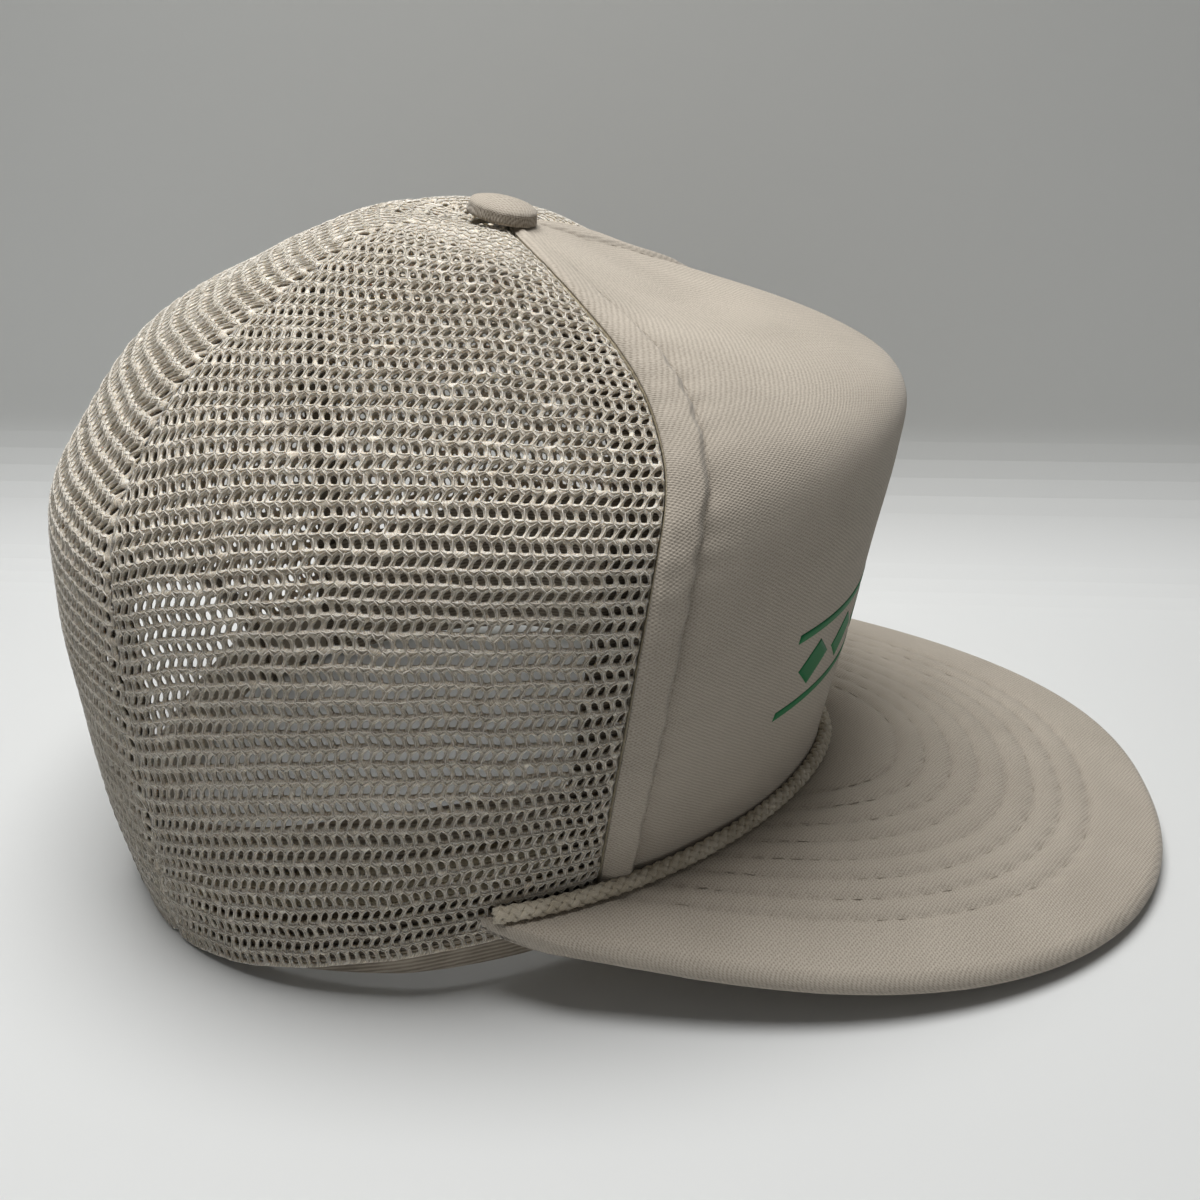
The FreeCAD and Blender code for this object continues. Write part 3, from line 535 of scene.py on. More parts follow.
class CAP_OT_front_panel(bpy.types.Operator):
    """Makes the foam-backed front, its seam strip and its printed border"""
    bl_idname = "cap.front_panel"
    bl_label = "Front Panel"

    def execute(self, context):
        f = make_finishes()
        bm = grid(170, 230)
        thicken(bm)
        fabric = wrap(bm, "front_fabric", front_place(FRONT_LAYER), f["tricot"],
                      replaces=["front_face_fabric"])
        bm = grid(90, 110)
        thicken(bm)
        foam = wrap(bm, "front_foam_pad", front_place(FOAM_LAYER), f["foam"],
                    replaces=["front_foam"])
        self.stitching(f)
        self.border(f)
        return {"FINISHED"}

    def stitching(self, f):
        """Top stitches in the groove beside each seam."""
        bm = bmesh.new()
        for side in (-1, 1):
            t = np.linspace(0.06, 0.9, 400)
            half = front_half(t)
            edge = np.minimum(STITCH_LINE, 0.336 * half)
            girth = side * (half - edge)
            up = np.interp(t, STEPS_T, RISE)
            rise, _ = front_relief(edge, up, half, girth)
            points = crown(angle_at(t, girth), t, rise + 0.02)
            sew(bm, points, STITCH_LENGTH, STITCH_GAP, THREAD)
        finish(solid_mesh(bm, "front_stitching"), "front_stitching", f["thread"])

    def border(self, f):
        """Printed border on the front: a row of lozenges between two bars."""
        sizes = cap_sizes()
        bm = bmesh.new()
        step = sizes.motif_pitch / MM
        for k in range(-3, 4):
            corner_up = Matrix.Translation((k * step, 0, 0)) @ Matrix.Rotation(math.pi / 4, 4, "Z")
            bmesh.ops.create_grid(bm, x_segments=8, y_segments=8, size=step * 0.3, matrix=corner_up)
        for level in (-1, 1):
            bar = Matrix.Translation((0, level * step * 0.72, 0))
            bar = bar @ Matrix.Diagonal((step * 3.7, step * 0.08, 1, 1))
            bmesh.ops.create_grid(bm, x_segments=90, y_segments=2, size=1.0, matrix=bar)
        thicken(bm)

        def place(flat):
            up = sizes.motif_height / MM + flat[:, 1]
            t = t_at_rise(up)
            half = front_half(t)
            girth = flat[:, 0]
            rise, _ = front_relief(half - np.abs(girth), up, half, girth)
            lift = np.where(flat[:, 2] > -0.5, 0.1, -0.02) + rise
            return crown(angle_at(t, girth), t, lift), flat[:, :2], 0.0

        wrap(bm, "front_border", place, f["ink"])


def solid_mesh(bm, name):
    """Mesh from a bmesh laid out in millimetres, with its length as UV."""
    layer = bm.loops.layers.uv.new("Cloth")
    for face in bm.faces:
        for loop in face.loops:
            loop[layer].uv = (loop.vert.co.x * MM, (loop.vert.co.y + loop.vert.co.z) * MM)
    bmesh.ops.scale(bm, verts=bm.verts, vec=(MM, MM, MM))
    me = bpy.data.meshes.new(name)
    bm.to_mesh(me)
    bm.free()
    return me


def sew(bm, points, length, gap, diameter):
    """Lays stitches end to end along a line of points in millimetres."""
    steps = np.linalg.norm(np.diff(points, axis=0), axis=1)
    run = np.concatenate([[0], np.cumsum(steps)])
    count = int(run[-1] / (length + gap))
    pitch = run[-1] / max(count, 1)
    for k in range(count):
        ends = [np.array([np.interp(s, run, points[:, i]) for i in range(3)])
                for s in ((k + 0.5) * pitch - length / 2, (k + 0.5) * pitch + length / 2)]
        middle, axis = Vector((ends[0] + ends[1]) / 2), Vector(ends[1] - ends[0])
        size = Matrix.Diagonal((diameter / 2, diameter / 2, axis.length / 2, 1))
        turn = axis.to_track_quat("Z", "Y").to_matrix().to_4x4()
        bmesh.ops.create_uvsphere(bm, u_segments=6, v_segments=4, radius=1.0,
                                  matrix=Matrix.Translation(middle) @ turn @ size)


# ------------------------------------------------------------------------------------ mesh panels
def row_rises():
    """Height of each knitted row up the side: rows stand further apart where the hem stretches them."""
    sizes = cap_sizes()
    rises = [-2 * sizes.row_pitch_hem / MM]
    while rises[-1] < RISE[-1] + 6:
        h = rises[-1]
        pitch = np.interp(h, (0, 40, 85, 118, 140, 187), (1.0, 0.94, 0.74, 0.76, 0.62, 0.56))
        rises.append(h + pitch * sizes.row_pitch_hem / MM)
    return np.array(rises)


def panel_place(side, kind, rises):
    """Maps a flat net to the crown: X round from the panel's grain line, Y up in rows, Z lift. Also tells
    which points lie inside the panel before they are drawn in to its edges."""
    def place(x, y, lift):
        rise = np.interp(y / ROW, np.arange(len(rises)), rises)
        bend = np.where(x > 0, 0.0030, 0.0016) if kind == "side" else 0.0012
        rise = rise - bend * x * x * ease(0.0, 50.0, rise)
        t = t_at_rise(rise)
        low, high = seam_angle(FRONT_SEAM, t), seam_angle(REAR_SEAM, t)
        if kind == "side":
            low_girth, high_girth = girth_at(t, low) + SEAM_GAP, girth_at(t, high) - SEAM_GAP
            grain = 0.5 * (low_girth + high_girth)
        else:
            low_girth, high_girth = girth_at(t, high) + SEAM_GAP, girth_at(t, low * 0 + 180.0) - SEAM_GAP
            grain = high_girth
        girth = grain + x
        inside = ((girth < low_girth) == (girth > high_girth)) & (rise >= 0) & (t <= NET_TOP)
        inset = np.minimum(girth - low_girth, high_girth - girth)
        girth = np.clip(girth, low_girth, high_girth)
        t = np.clip(t, 0.0, NET_TOP)
        angle = angle_at(t, girth)
        fold = FOLD_DEPTH * np.exp(-np.clip(inset, 0, 9) / FOLD_WIDTH)
        dents = 0.5 * ripple(girth, rise, 38.0, 11 if kind == "side" else 12)
        swell = dents * ease(2.0, 14.0, inset) * ease(32, 50, rise)
        puff = np.exp(-((t - PUFF_MIDDLE) / PUFF_SPREAD) ** 2) * ease(PUFF_FROM, PUFF_FULL, angle)
        points = crown(side * angle, t, lift - MESH_OUTER - fold + swell + PUFF_HEIGHT * puff)
        return points, inside
    return place


def in_arch(points, margin):
    """Whether points lie in the rear opening grown by a margin."""
    half, height = OPENING_HALF + margin, OPENING_HEIGHT + margin
    x, z = points[:, 0], points[:, 2]
    above = np.clip((z - OPENING_STRAIGHT) / (height - OPENING_STRAIGHT), 0, None)
    return (points[:, 1] > 20) & ((x / half) ** 2 + above ** 2 < 1)


def flat_points(bm):
    return np.array([v.co[:] for v in bm.verts])


def net_columns(kind, pitch):
    """Columns of holes in a flat net, and where its first one stands."""
    columns = int((SIDE_WIDTH if kind == "side" else REAR_WIDTH) / pitch)
    return columns, -columns * pitch / 2 if kind == "side" else -columns * pitch


def net(side, kind, rises):
    """Knitted net as a closed slab in the flat layout: bands of yarn with staggered, leaning holes between
    them. Each hole has a flat foot and a pointed top, so that its struts fork into the band above. Until the
    holes are cut, a vertex's index is its column, and ten thousand for each quarter row."""
    sizes = cap_sizes()
    pitch, strut = sizes.hole_pitch / MM, sizes.strut_width / MM
    place = panel_place(side, kind, rises)
    if strut > 0.8 * pitch:
        raise ValueError("The strut is too wide for the hole pitch")
    columns, first = net_columns(kind, pitch)
    rows = len(rises) - 1
    bm = grid(2 * columns, 4 * rows)
    for v in bm.verts:
        i, k = round(v.co.x * 2 * columns), round(v.co.y * 4 * rows)
        v.index = i + k * 10000
        open_here = (i - k // 4) % 2 == 1
        y = (HOLE_FOOT[0 if open_here else 1], 0.10, 0.5, HOLE_TOP[0 if open_here else 1])[k % 4]
        v.co = (first + i * pitch / 2, (k // 4 + y) * ROW, NET_LEVEL[k % 4])
    middles = [v for v in bm.verts
               if (v.index // 10000) % 4 == 2 and (v.index % 10000 - v.index // 40000) % 2 == 1]
    bmesh.ops.dissolve_verts(bm, verts=middles)
    flat = flat_points(bm)
    points, inside = place(flat[:, 0], flat[:, 1], flat[:, 2])
    if kind == "rear":
        inside &= ~in_arch(points, 1.0)
    grown = [any(inside[v.index] for v in face.verts) for face in indexed(bm).faces]
    bmesh.ops.delete(bm, geom=[face for face, near in zip(bm.faces[:], grown) if not near], context="FACES")
    cells = [face for face in bm.faces if len(face.verts) == 8]
    bmesh.ops.inset_individual(bm, faces=cells, thickness=0.1, use_even_offset=True)
    rng = random.Random(5 if side > 0 else 6)
    for cell in cells:
        c = cell.calc_center_median()
        middle_y = (math.floor(c.y / ROW) + 0.5) * ROW
        narrow = float(np.interp(c.y / ROW, (0, 9, 18), (1.0, 0.75, 0.62)))
        wide = (pitch - strut * (1.6 - 0.6 * narrow)) / 2 * rng.uniform(0.93, 1.05)
        tall = (0.295 + 0.055 * narrow) * ROW * rng.uniform(0.95, 1.04)
        tip = rng.uniform(-0.22, 0.22)
        for v in cell.verts:
            right = float(np.sign(round(v.co.x - c.x, 2)))
            up = float(np.sign(round((v.co.y - middle_y) / ROW, 1)))
            if right and up:
                x, y = (0.80, -0.90) if up < 0 else (0.70, 0.60)
            elif right:
                x, y = 1.0, -0.08
            else:
                x, y = (tip, 1.0) if up > 0 else (0.0, -0.98)
            v.co = (c.x + (right or 1.0) * wide * x, middle_y + tall * y, -0.08)
    bmesh.ops.delete(bm, geom=cells, context="FACES_ONLY")
    thicken(bm, sizes.net_thickness / MM)
    lean = sizes.lean / MM

    def on_crown(flat):
        x, y = leaning(flat[:, 0], flat[:, 1], lean)
        slant = np.where(np.floor(flat[:, 1] / ROW + 0.5) % 2 == 0, 0.7, -0.7)
        uv = np.stack([flat[:, 0] + slant * flat[:, 1], flat[:, 1]], axis=1)
        return place(x, y, flat[:, 2] - 0.1)[0], uv, 0.0
    return bm, on_crown


def leaning(x, y, lean):
    """Flat layout with its rows leaning by turns to the left and right, and a little uneven."""
    row = np.floor(y / ROW)
    sign = np.where(row % 2 == 0, 1.0, -1.0)
    lean_x = x + lean / 2 * sign * np.clip((y / ROW - row - 0.5) / 0.36, -1, 1)
    lean_x = lean_x + 0.12 * ripple(x, y, 7.0, 21)
    return lean_x, y + 0.30 * ripple(x, y, 24.0, 22) + 0.10 * ripple(x, y, 5.0, 23)


def indexed(bm):
    bm.verts.index_update()
    bm.verts.ensure_lookup_table()
    return bm


# Limbs of one strand: X in half pitches, Y in rows, Z lift. A strut, its two arms, and a loop along the band
LIMBS = (((0.0, 0.02, 0.20), (0.05, 0.30, 0.12), (-0.025, 0.60, 0.14), (0.0, 0.82, 0.26)),
         ((0.0, 0.74, 0.16), (-0.40, 0.88, 0.34), (-1.06, 1.04, 0.22)),
         ((1 / 30, 0.76, 0.20), (0.45, 0.86, 0.26), (1.04, 1.08, 0.36)),
         ((-0.9, 1.10, 0.34), (0.1, 1.02, 0.30), (0.9, 1.13, 0.22)))


def strands(side, kind, rises):
    """Bright filaments of the net: one up each strut, forking into the band above, and one along the band."""
    sizes = cap_sizes()
    pitch, lean = sizes.hole_pitch / MM, sizes.lean / MM
    radius = sizes.strand_width / MM / 2
    place = panel_place(side, kind, rises)
    columns, first = net_columns(kind, pitch)
    rows = len(rises) - 1
    unit = bmesh.new()
    half = pitch / 2
    for row in (0, 1):
        start = row * half
        for path in LIMBS:
            steps = [(start + x * half, (row + y) * ROW, z) for x, y, z in path]
            limb(unit, steps, radius)
    bmesh.ops.recalc_face_normals(unit, faces=unit.faces)
    me = bpy.data.meshes.new("strand_unit")
    unit.to_mesh(me)
    unit.free()
    holder = bpy.data.objects.new("strand_unit", me)
    bpy.context.collection.objects.link(holder)
    for name, number, step in (("around", columns, (pitch, 0, 0)), ("up", rows // 2, (0, 2 * ROW, 0))):
        array = holder.modifiers.new(name, "ARRAY")
        array.count, array.use_relative_offset, array.use_constant_offset = number, False, True
        array.constant_offset_displace = step
    shaped = bpy.data.meshes.new_from_object(holder.evaluated_get(bpy.context.evaluated_depsgraph_get()))
    bpy.data.objects.remove(holder)
    bm = bmesh.new()
    bm.from_mesh(shaped)
    bmesh.ops.translate(bm, verts=bm.verts, vec=(first, 0, 0))
    flat = flat_points(bm)
    points, inside = place(flat[:, 0], flat[:, 1], flat[:, 2])
    lost = ~inside
    if kind == "rear":
        lost |= in_arch(points, 1.2)
    lost, which = spread(bm, lost)
    rng = random.Random(31 if side > 0 else 32)
    missing = np.array([rng.random() < LOST_STRANDS for _ in range(len(lost))])
    lost |= missing[which]
    bmesh.ops.delete(bm, geom=[v for v in bm.verts if lost[v.index]], context="VERTS")

    def on_crown(flat):
        x, y = leaning(flat[:, 0], flat[:, 1], lean)
        x = x + 0.16 * ripple(flat[:, 0], flat[:, 1], 2.6, 41)
        y = y + 0.12 * ripple(flat[:, 0], flat[:, 1], 3.1, 42)
        return place(x, y, flat[:, 2] - 0.05)[0], np.stack([flat[:, 1], flat[:, 0] + flat[:, 2]], axis=1), 0.0
    return bm, on_crown


def limb(bm, path, radius):
    """Three-sided filament through a few points, closed at both ends."""
    line = [Vector(p) for p in path]
    ring = None
    for k, point in enumerate(line):
        ahead = line[min(k + 1, len(line) - 1)] - line[max(k - 1, 0)]
        turn = ahead.to_track_quat("Z", "Y").to_matrix().to_4x4()
        size = radius * (0.75 if k in (0, len(line) - 1) else 1.0)
        made = bmesh.ops.create_circle(bm, segments=3, radius=size, cap_ends=k in (0, len(line) - 1),
                                       matrix=Matrix.Translation(point) @ turn)["verts"]
        edges = list(dict.fromkeys(e for v in made for e in v.link_edges))
        if ring:
            bmesh.ops.bridge_loops(bm, edges=ring + edges)
        ring = edges


def islands(bm):
    """Number of the separate shape that each vertex belongs to."""
    mark = np.full(len(bm.verts), -1)
    for seed in bm.verts:
        if mark[seed.index] >= 0:
            continue
        stack = [seed]
        mark[seed.index] = seed.index
        while stack:
            for edge in stack.pop().link_edges:
                for v in edge.verts:
                    if mark[v.index] < 0:
                        mark[v.index] = seed.index
                        stack.append(v)
    return mark


def spread(bm, lost):
    """Marks every vertex of a shape of which one vertex is marked. Also numbers each vertex's shape."""
    names, which = np.unique(islands(indexed(bm)), return_inverse=True)
    hit = np.zeros(len(names), bool)
    np.logical_or.at(hit, which, lost)
    return hit[which], which


class CAP_OT_mesh_panels(bpy.types.Operator):
    """Makes the four knitted mesh panels"""
    bl_idname = "cap.mesh_panels"
    bl_label = "Mesh Panels"

    def execute(self, context):
        f = make_finishes()
        rises = row_rises()
        for kind in ("side", "rear"):
            for name, side in (("left", 1), ("right", -1)):
                bm, place = net(side, kind, rises)
                panel = wrap(bm, f"{kind}_net_{name}", place, f["net"],
                             replaces=[f"{kind}_mesh_{name}"], weld=0.01)
                bm, place = strands(side, kind, rises)
                loops = wrap(bm, f"{kind}_strands_{name}", place, f["strand"])
        return {"FINISHED"}


# ------------------------------------------------------------------------------------ linings
def strip_place(left, right, low, high, depth, thickness, shape=None):
    """Layout of a strip on the crown between two edges: angle of t, t of angle."""
    def place(flat):
        u, v = flat[:, 0], flat[:, 1]
        hem, crest = np.zeros_like(u), np.ones_like(u)
        foot = low(left(hem) + (right(hem) - left(hem)) * u)
        top = high(left(crest) + (right(crest) - left(crest)) * u)
        t = foot + (top - foot) * v
        angle = left(t) + (right(t) - left(t)) * u
        lift = -depth - np.where(flat[:, 2] > -0.5, 0.0, thickness)
        girth, up = girth_at(t, np.clip(angle, -180, 180)), np.interp(t, STEPS_T, RISE)
        if shape is not None:
            lift = lift + shape(girth, up)
        return crown(angle, t, lift), np.stack([girth, up], axis=1), 0.0
    return place


def along_seam(seam, side, offset):
    """Edge that follows a seam, offset in millimetres round the crown, away from the front."""
    return lambda t: side * angle_at(t, girth_at(t, seam_angle(seam, t)) + offset)


def hanging(place, share=0.72, part=0.22):
    """Lets the lower part of a strip hang below the hem, by a share of the hem's height off the table."""
    def lower(flat):
        points, uv, crease_shade = place(flat)
        foot = HEM_RISE * (1 - ease(HEM_RISE_START, HEM_RISE_END, points[:, 1]))
        fall = share * foot * np.clip(1 - flat[:, 1] / part, 0, 1)
        points[:, 2] = np.maximum(points[:, 2] - fall, 0.3)
        uv[:, 1] -= fall
        return points, uv, crease_shade
    return lower


def always(value):
    return lambda t: np.full_like(t, value)


def above_hem(height):
    """Edge of a strip that stands this far above the hem all the way round."""
    return lambda angle: rise_above_hem(np.abs(angle), height)


def foot_at(angle):
    """t of the foot of a seam tape, which starts over the hem tape."""
    return float(rise_above_hem(np.array([angle]), TAPE_FOOT)[0])


class CAP_OT_linings(bpy.types.Operator):
    """Makes the seam tapes, hem tapes and sweatband inside the cap"""
    bl_idname = "cap.linings"
    bl_label = "Linings"

    def execute(self, context):
        f = make_finishes()
        for name, side in (("left", 1), ("right", -1)):
            seam = along_seam(FRONT_SEAM, side, SEAM_GAP)
            place = strip_place(seam, along_seam(FRONT_SEAM, side, TAPE_WIDTH), always(foot_at(62.0)),
                                always(0.93), TAPE_DEPTH, FRONT_TAPE_THICK)
            tape = self.strip(f"front_tape_{name}", 8, 120, place, f["tape"], "tape",
                              [f"front_seam_tape_{name}"])
            edges = [along_seam(REAR_SEAM, side, offset) for offset in (-TAPE_WIDTH / 2, TAPE_WIDTH / 2)]
            place = strip_place(*edges, always(foot_at(132.0)), always(0.9), TAPE_DEPTH, TAPE_THICK)
            tape = self.strip(f"rear_tape_{name}", 8, 120, place, f["tape"], "tape",
                              [f"rear_seam_tape_{name}"])
            back = side * rear_angle_at(OPENING_HALF + BINDING + 0.5, MESH_INNER + 1.2)
            place = strip_place(seam, always(back), above_hem(BAND_FOOT), above_hem(HEM_TAPE_TOP), TAPE_DEPTH,
                                HEM_TAPE_THICK)
            tape = self.strip(f"hem_binding_{name}", 90, 12, place, f["tape"], "tape", [f"hem_tape_{name}"])
        start = float(rise_above_hem(np.array([180.0]), OPENING_HEIGHT + BINDING + 1)[0])
        near = lambda t: angle_at(t, girth_at(t, 180.0 + 0 * t) - TAPE_WIDTH / 2)
        place = strip_place(near, lambda t: 360 - near(t), always(start), always(0.9), TAPE_DEPTH, TAPE_THICK)
        tape = self.strip("centre_tape", 8, 90, place, f["tape"], "tape", ["centre_seam_tape"])
        end = rear_angle_at(BAND_END_X, BAND_END_DEPTH)
        ends = always(-end), always(end)
        place = strip_place(*ends, above_hem(BAND_FOOT), above_hem(PAD_TOP), PAD_DEPTH, PAD_THICK)
        pad = self.strip("band_pad", 150, 10, place, f["foam"], "foam", ["sweatband_foam"])
        place = strip_place(*ends, above_hem(BAND_FOOT), above_hem(BAND_TOP), BAND_DEPTH, BAND_THICK,
                            lambda girth, up: 0.12 * np.sin(up * 1.3))
        band = self.strip("sweatband_cloth", 220, 24, hanging(place), f["band"], "band_cloth", ["sweatband"])
        return {"FINISHED"}

    def strip(self, name, columns, rows, place, material, slot, nodes):
        bm = grid(columns, rows)
        thicken(bm)
        return wrap(bm, name, place, material, replaces=nodes, sharp=50)


# ------------------------------------------------------------------------------------ visor
def visor_z(x, y):
    return ROOT_Z + VISOR_SLOPE * (y + FRONT_CURVE[0][0] * FRONT_REACH) - VISOR_DROP * (x / VISOR_HALF) ** 2


def visor_edge(turn, inset=0.0, tip_inset=0.0):
    """Outline of the visor drawn in by two insets; turn in degrees from the tip."""
    c, s = np.cos(np.radians(turn)), np.sin(np.radians(turn))
    depth = VISOR_TIP + SPREAD_Y - tip_inset
    x = (VISOR_HALF - inset) * np.sign(s) * np.abs(s) ** (2 / VISOR_POWER)
    return x, SPREAD_Y - depth * np.sign(c) * np.abs(c) ** (2 / VISOR_POWER)


def root_line(angle):
    """Where the visor meets the crown."""
    t = np.zeros_like(angle)
    for _ in range(12):
        p = skin(angle, t)
        t = np.clip(t + (visor_z(p[..., 0], p[..., 1]) - p[..., 2]) / 220, 0.0, 0.3)
    return crown(angle, t, t * 0 + SEAM_GAP)


def inset_at(x, y, side_step, tip_step, side_start=0.0, tip_start=0.0):
    """How many steps inside the outline a point lies. Each outline is smaller than the last by a step at the
    side and at the tip."""
    low, high = np.full_like(x, -2.0), np.full_like(x, min(78 / side_step, 118 / tip_step))
    for _ in range(30):
        k = 0.5 * (low + high)
        across = np.abs(x) / (VISOR_HALF - side_start - k * side_step)
        ahead = np.clip(SPREAD_Y - y, 0, None) / (VISOR_TIP + SPREAD_Y - tip_start - k * tip_step)
        inside = across ** VISOR_POWER + ahead ** VISOR_POWER < 1
        low, high = np.where(inside, k, low), np.where(inside, high, k)
    return low


def quilting(x, y):
    """Relief of the stitched rows: valleys with a dimple at each stitch and soft pillows between. Also the
    share of painted shade at each point, which grows with how deep in a valley it lies and is most at a
    stitch."""
    sizes = cap_sizes()
    rows = sizes.stitch_rows
    step, tip = sizes.row_step / MM, sizes.row_step_tip / MM
    k = inset_at(x, y, step, tip, ROW_MARGIN, ROW_MARGIN_TIP)
    near = np.clip(np.round(k), 0, rows - 1)
    ahead = np.abs(np.arctan2(SPREAD_Y - y, np.abs(x)))
    local = step + (tip - step) * np.clip(ahead / (math.pi / 2), 0, 1)
    off = (k - near) * local
    run = np.where(y < SPREAD_Y, np.arctan2(x, SPREAD_Y - y) * (74 - near * 4.2),
                   np.sign(x) * 116 + (y - SPREAD_Y))
    stitches = run * math.tau / (sizes.stitch_pitch / MM)
    beat = 0.5 + 0.5 * np.cos(stitches + near * 2.4)
    valley = np.exp(-(off / 0.85) ** 2)
    wide = np.exp(-(off / 1.9) ** 2)
    pucker = np.sin(stitches + off * 1.2 + near)
    relief = -(0.10 + 0.30 * beat) * valley - 0.34 * wide + 0.10 * pucker * wide
    return relief, valley * (0.12 + 0.20 * beat)


def visor_place(layer):
    """Layout of a visor cover: X from end to end, Y from the crown out to the edge, Z 0 above or -1 below."""
    end = root_line(np.array([VISOR_END]))[0]
    lead = (SPREAD_Y - (end[1] - VISOR_LEAD)) / (VISOR_TIP + SPREAD_Y)
    last = 90 + math.degrees(math.asin(abs(lead) ** (VISOR_POWER / 2)))

    def place(flat):
        u, v = flat[:, 0] * 2 - 1, flat[:, 1]
        inner = root_line(VISOR_END * u)
        edge_x, edge_y = visor_edge(last * u)
        length = np.hypot(edge_x - inner[:, 0], edge_y - inner[:, 1])
        rim, flat_share = np.minimum(RIM_WIDTH, 0.5 * length), 1 - RIM_SHARE
        out = (v - flat_share) / RIM_SHARE
        from_edge = np.where(v > flat_share, rim * (1 - np.clip(out, 0, 1)) ** RIM_POWER,
                             rim + (length - rim) * (flat_share - v) / flat_share)
        share = 1 - from_edge / length
        x = inner[:, 0] + (edge_x - inner[:, 0]) * share
        y = inner[:, 1] + (edge_y - inner[:, 1]) * share
        inset = np.clip(inset_at(x, y, 1.0, 1.0), 0, None)
        chord = np.sqrt(np.clip(RIM ** 2 - np.clip(RIM - inset, 0, None) ** 2, 0, None))
        # quilting also gives painted shade for the stitch valleys, which darkens the cloth there.
        relief, crease_shade = quilting(x, y)
        fade = ease(0.0, 6.0, length - from_edge) * ease(2.0, 8.0, inset)
        upper = flat[:, 2] > -0.5
        if layer == "cover":
            top = -RIM + chord + relief * fade
            under = np.where(inset < WRAP_WIDTH, -RIM - np.minimum(chord, COVER_WRAP),
                             -BOARD_TOP + relief * fade * 0.6)
            lift = np.where(upper, top, np.minimum(under, top - 0.05))
        else:
            under = -RIM - chord - 0.3 * relief * fade
            over = np.minimum(-RIM - 0.02, np.maximum(under + 0.75, -VISOR_THICK + 0.8))
            lift = np.where(upper, over, under)
            lift = np.where(upper & (inset > 0.7), -VISOR_THICK + 0.8, lift)
        dip = ROOT_DIP * np.exp(-((length - from_edge) / ROOT_DIP_WIDTH) ** 2) if layer == "cover" else 0.0
        z = visor_z(x, y) + lift - np.where(upper, dip, 0.6 * dip)
        return np.stack([x, y, z], axis=1), np.stack([x + 0.8 * lift, y - lift], axis=1), crease_shade * fade
    return place


class CAP_OT_visor(bpy.types.Operator):
    """Makes the quilted visor: foam-backed cover with a rolled rim, lining and stitching"""
    bl_idname = "cap.visor"
    bl_label = "Visor"

    def execute(self, context):
        f = make_finishes()
        bm = grid(250, 112)
        thicken(bm)
        cover = wrap(bm, "visor_cover", visor_place("cover"), f["tricot"],
                     replaces=["visor_top_cover"])
        bm = grid(200, 70)
        thicken(bm)
        lining = wrap(bm, "visor_lining", visor_place("lining"), f["tricot"],
                      replaces=["visor_under_cover"])
        paint_nodes(["visor_board"], f["board"])
        self.stitching(f)
        return {"FINISHED"}

    def stitching(self, f):
        sizes = cap_sizes()
        root = root_line(np.linspace(0, 90, 181))
        bm = bmesh.new()
        for row in range(sizes.stitch_rows):
            turn = np.linspace(-89, 89, 700)
            x, y = visor_edge(turn, ROW_MARGIN + row * sizes.row_step / MM,
                              ROW_MARGIN_TIP + row * sizes.row_step_tip / MM)
            keep = y < np.interp(np.abs(x), root[:, 0], root[:, 1]) - ROOT_MARGIN
            x, y = x[keep], y[keep]
            relief, _ = quilting(x, y)
            for lift in (relief - 0.04, -VISOR_THICK - 0.08 - 0.3 * relief):
                line = np.stack([x, y, visor_z(x, y) + lift], axis=1)
                sew(bm, line, sizes.stitch_pitch / MM - VISOR_STITCH_GAP, VISOR_STITCH_GAP, THREAD)
        nodes = [f"visor_stitch_row_{k + 1}" for k in range(8)]
        finish(solid_mesh(bm, "visor_stitching"), "visor_stitching", f["thread"],
               replaces=nodes)


# ------------------------------------------------------------------------------------ rope
class CAP_OT_rope(bpy.types.Operator):
    """Makes the rope in the corner of crown and visor: eight strands braided round a core"""
    bl_idname = "cap.rope"
    bl_label = "Rope"

    def execute(self, context):
        f = make_finishes()
        sizes = cap_sizes()
        radius = sizes.rope_diameter / MM / 2
        core = radius - 0.1
        angle = np.linspace(-ROPE_END, ROPE_END, 33)
        t = np.zeros_like(angle)
        for _ in range(16):
            p = crown(angle, t, t * 0 + core)
            t = np.clip(t + (visor_z(p[:, 0], p[:, 1]) - ROOT_DIP + core - p[:, 2]) / 220, 0.0, 0.4)
        centre = smooth_line("rope_route", crown(angle, t, t * 0 + core))
        steps = np.linalg.norm(np.diff(centre, axis=0), axis=1)
        run = np.concatenate([[0], np.cumsum(steps)])
        lay = sizes.rope_lay / MM
        count = int(run[-1] / lay * RINGS_PER_LAY)
        s = np.linspace(0, run[-1], count + 1)
        line = np.stack([np.interp(s, run, centre[:, i]) for i in range(3)], axis=1)
        ahead = np.gradient(line, axis=0)
        ahead /= np.linalg.norm(ahead, axis=1, keepdims=True)
        side = np.cross(ahead, (0, 0, 1.0))
        side /= np.linalg.norm(side, axis=1, keepdims=True)
        up = np.cross(side, ahead)
        bm = bmesh.new()
        for way in (1, -1):
            for k in range(4):
                turn = way * (s / lay * math.tau) + k * math.pi / 2
                out = radius - STRAND_HALF + way * WEAVE * np.cos(s / lay * 4 * math.tau)
                direction = np.cos(turn)[:, None] * side + np.sin(turn)[:, None] * up
                tube(bm, line + direction * out[:, None], direction, STRAND_HALF, STRAND_TALL, 8)
        tube(bm, line, up, ROPE_CORE, ROPE_CORE, 10)
        finish(solid_mesh(bm, "rope_braid"), "rope_braid", f["rope"], replaces=["rope"])
        return {"FINISHED"}


def smooth_line(name, points):
    """Points along a NURBS spline with these control points."""
    curve = bpy.data.curves.new(name, "CURVE")
    curve.dimensions = "3D"
    spline = curve.splines.new("NURBS")
    spline.points.add(len(points) - 1)
    for place, p in zip(spline.points, points):
        place.co = (*p, 1.0)
    spline.order_u = 3
    spline.use_endpoint_u = True
    spline.resolution_u = 8
    holder = bpy.data.objects.new(name, curve)
    me = bpy.data.meshes.new_from_object(holder)
    line = np.array([v.co[:] for v in me.vertices])
    bpy.data.objects.remove(holder)
    return line


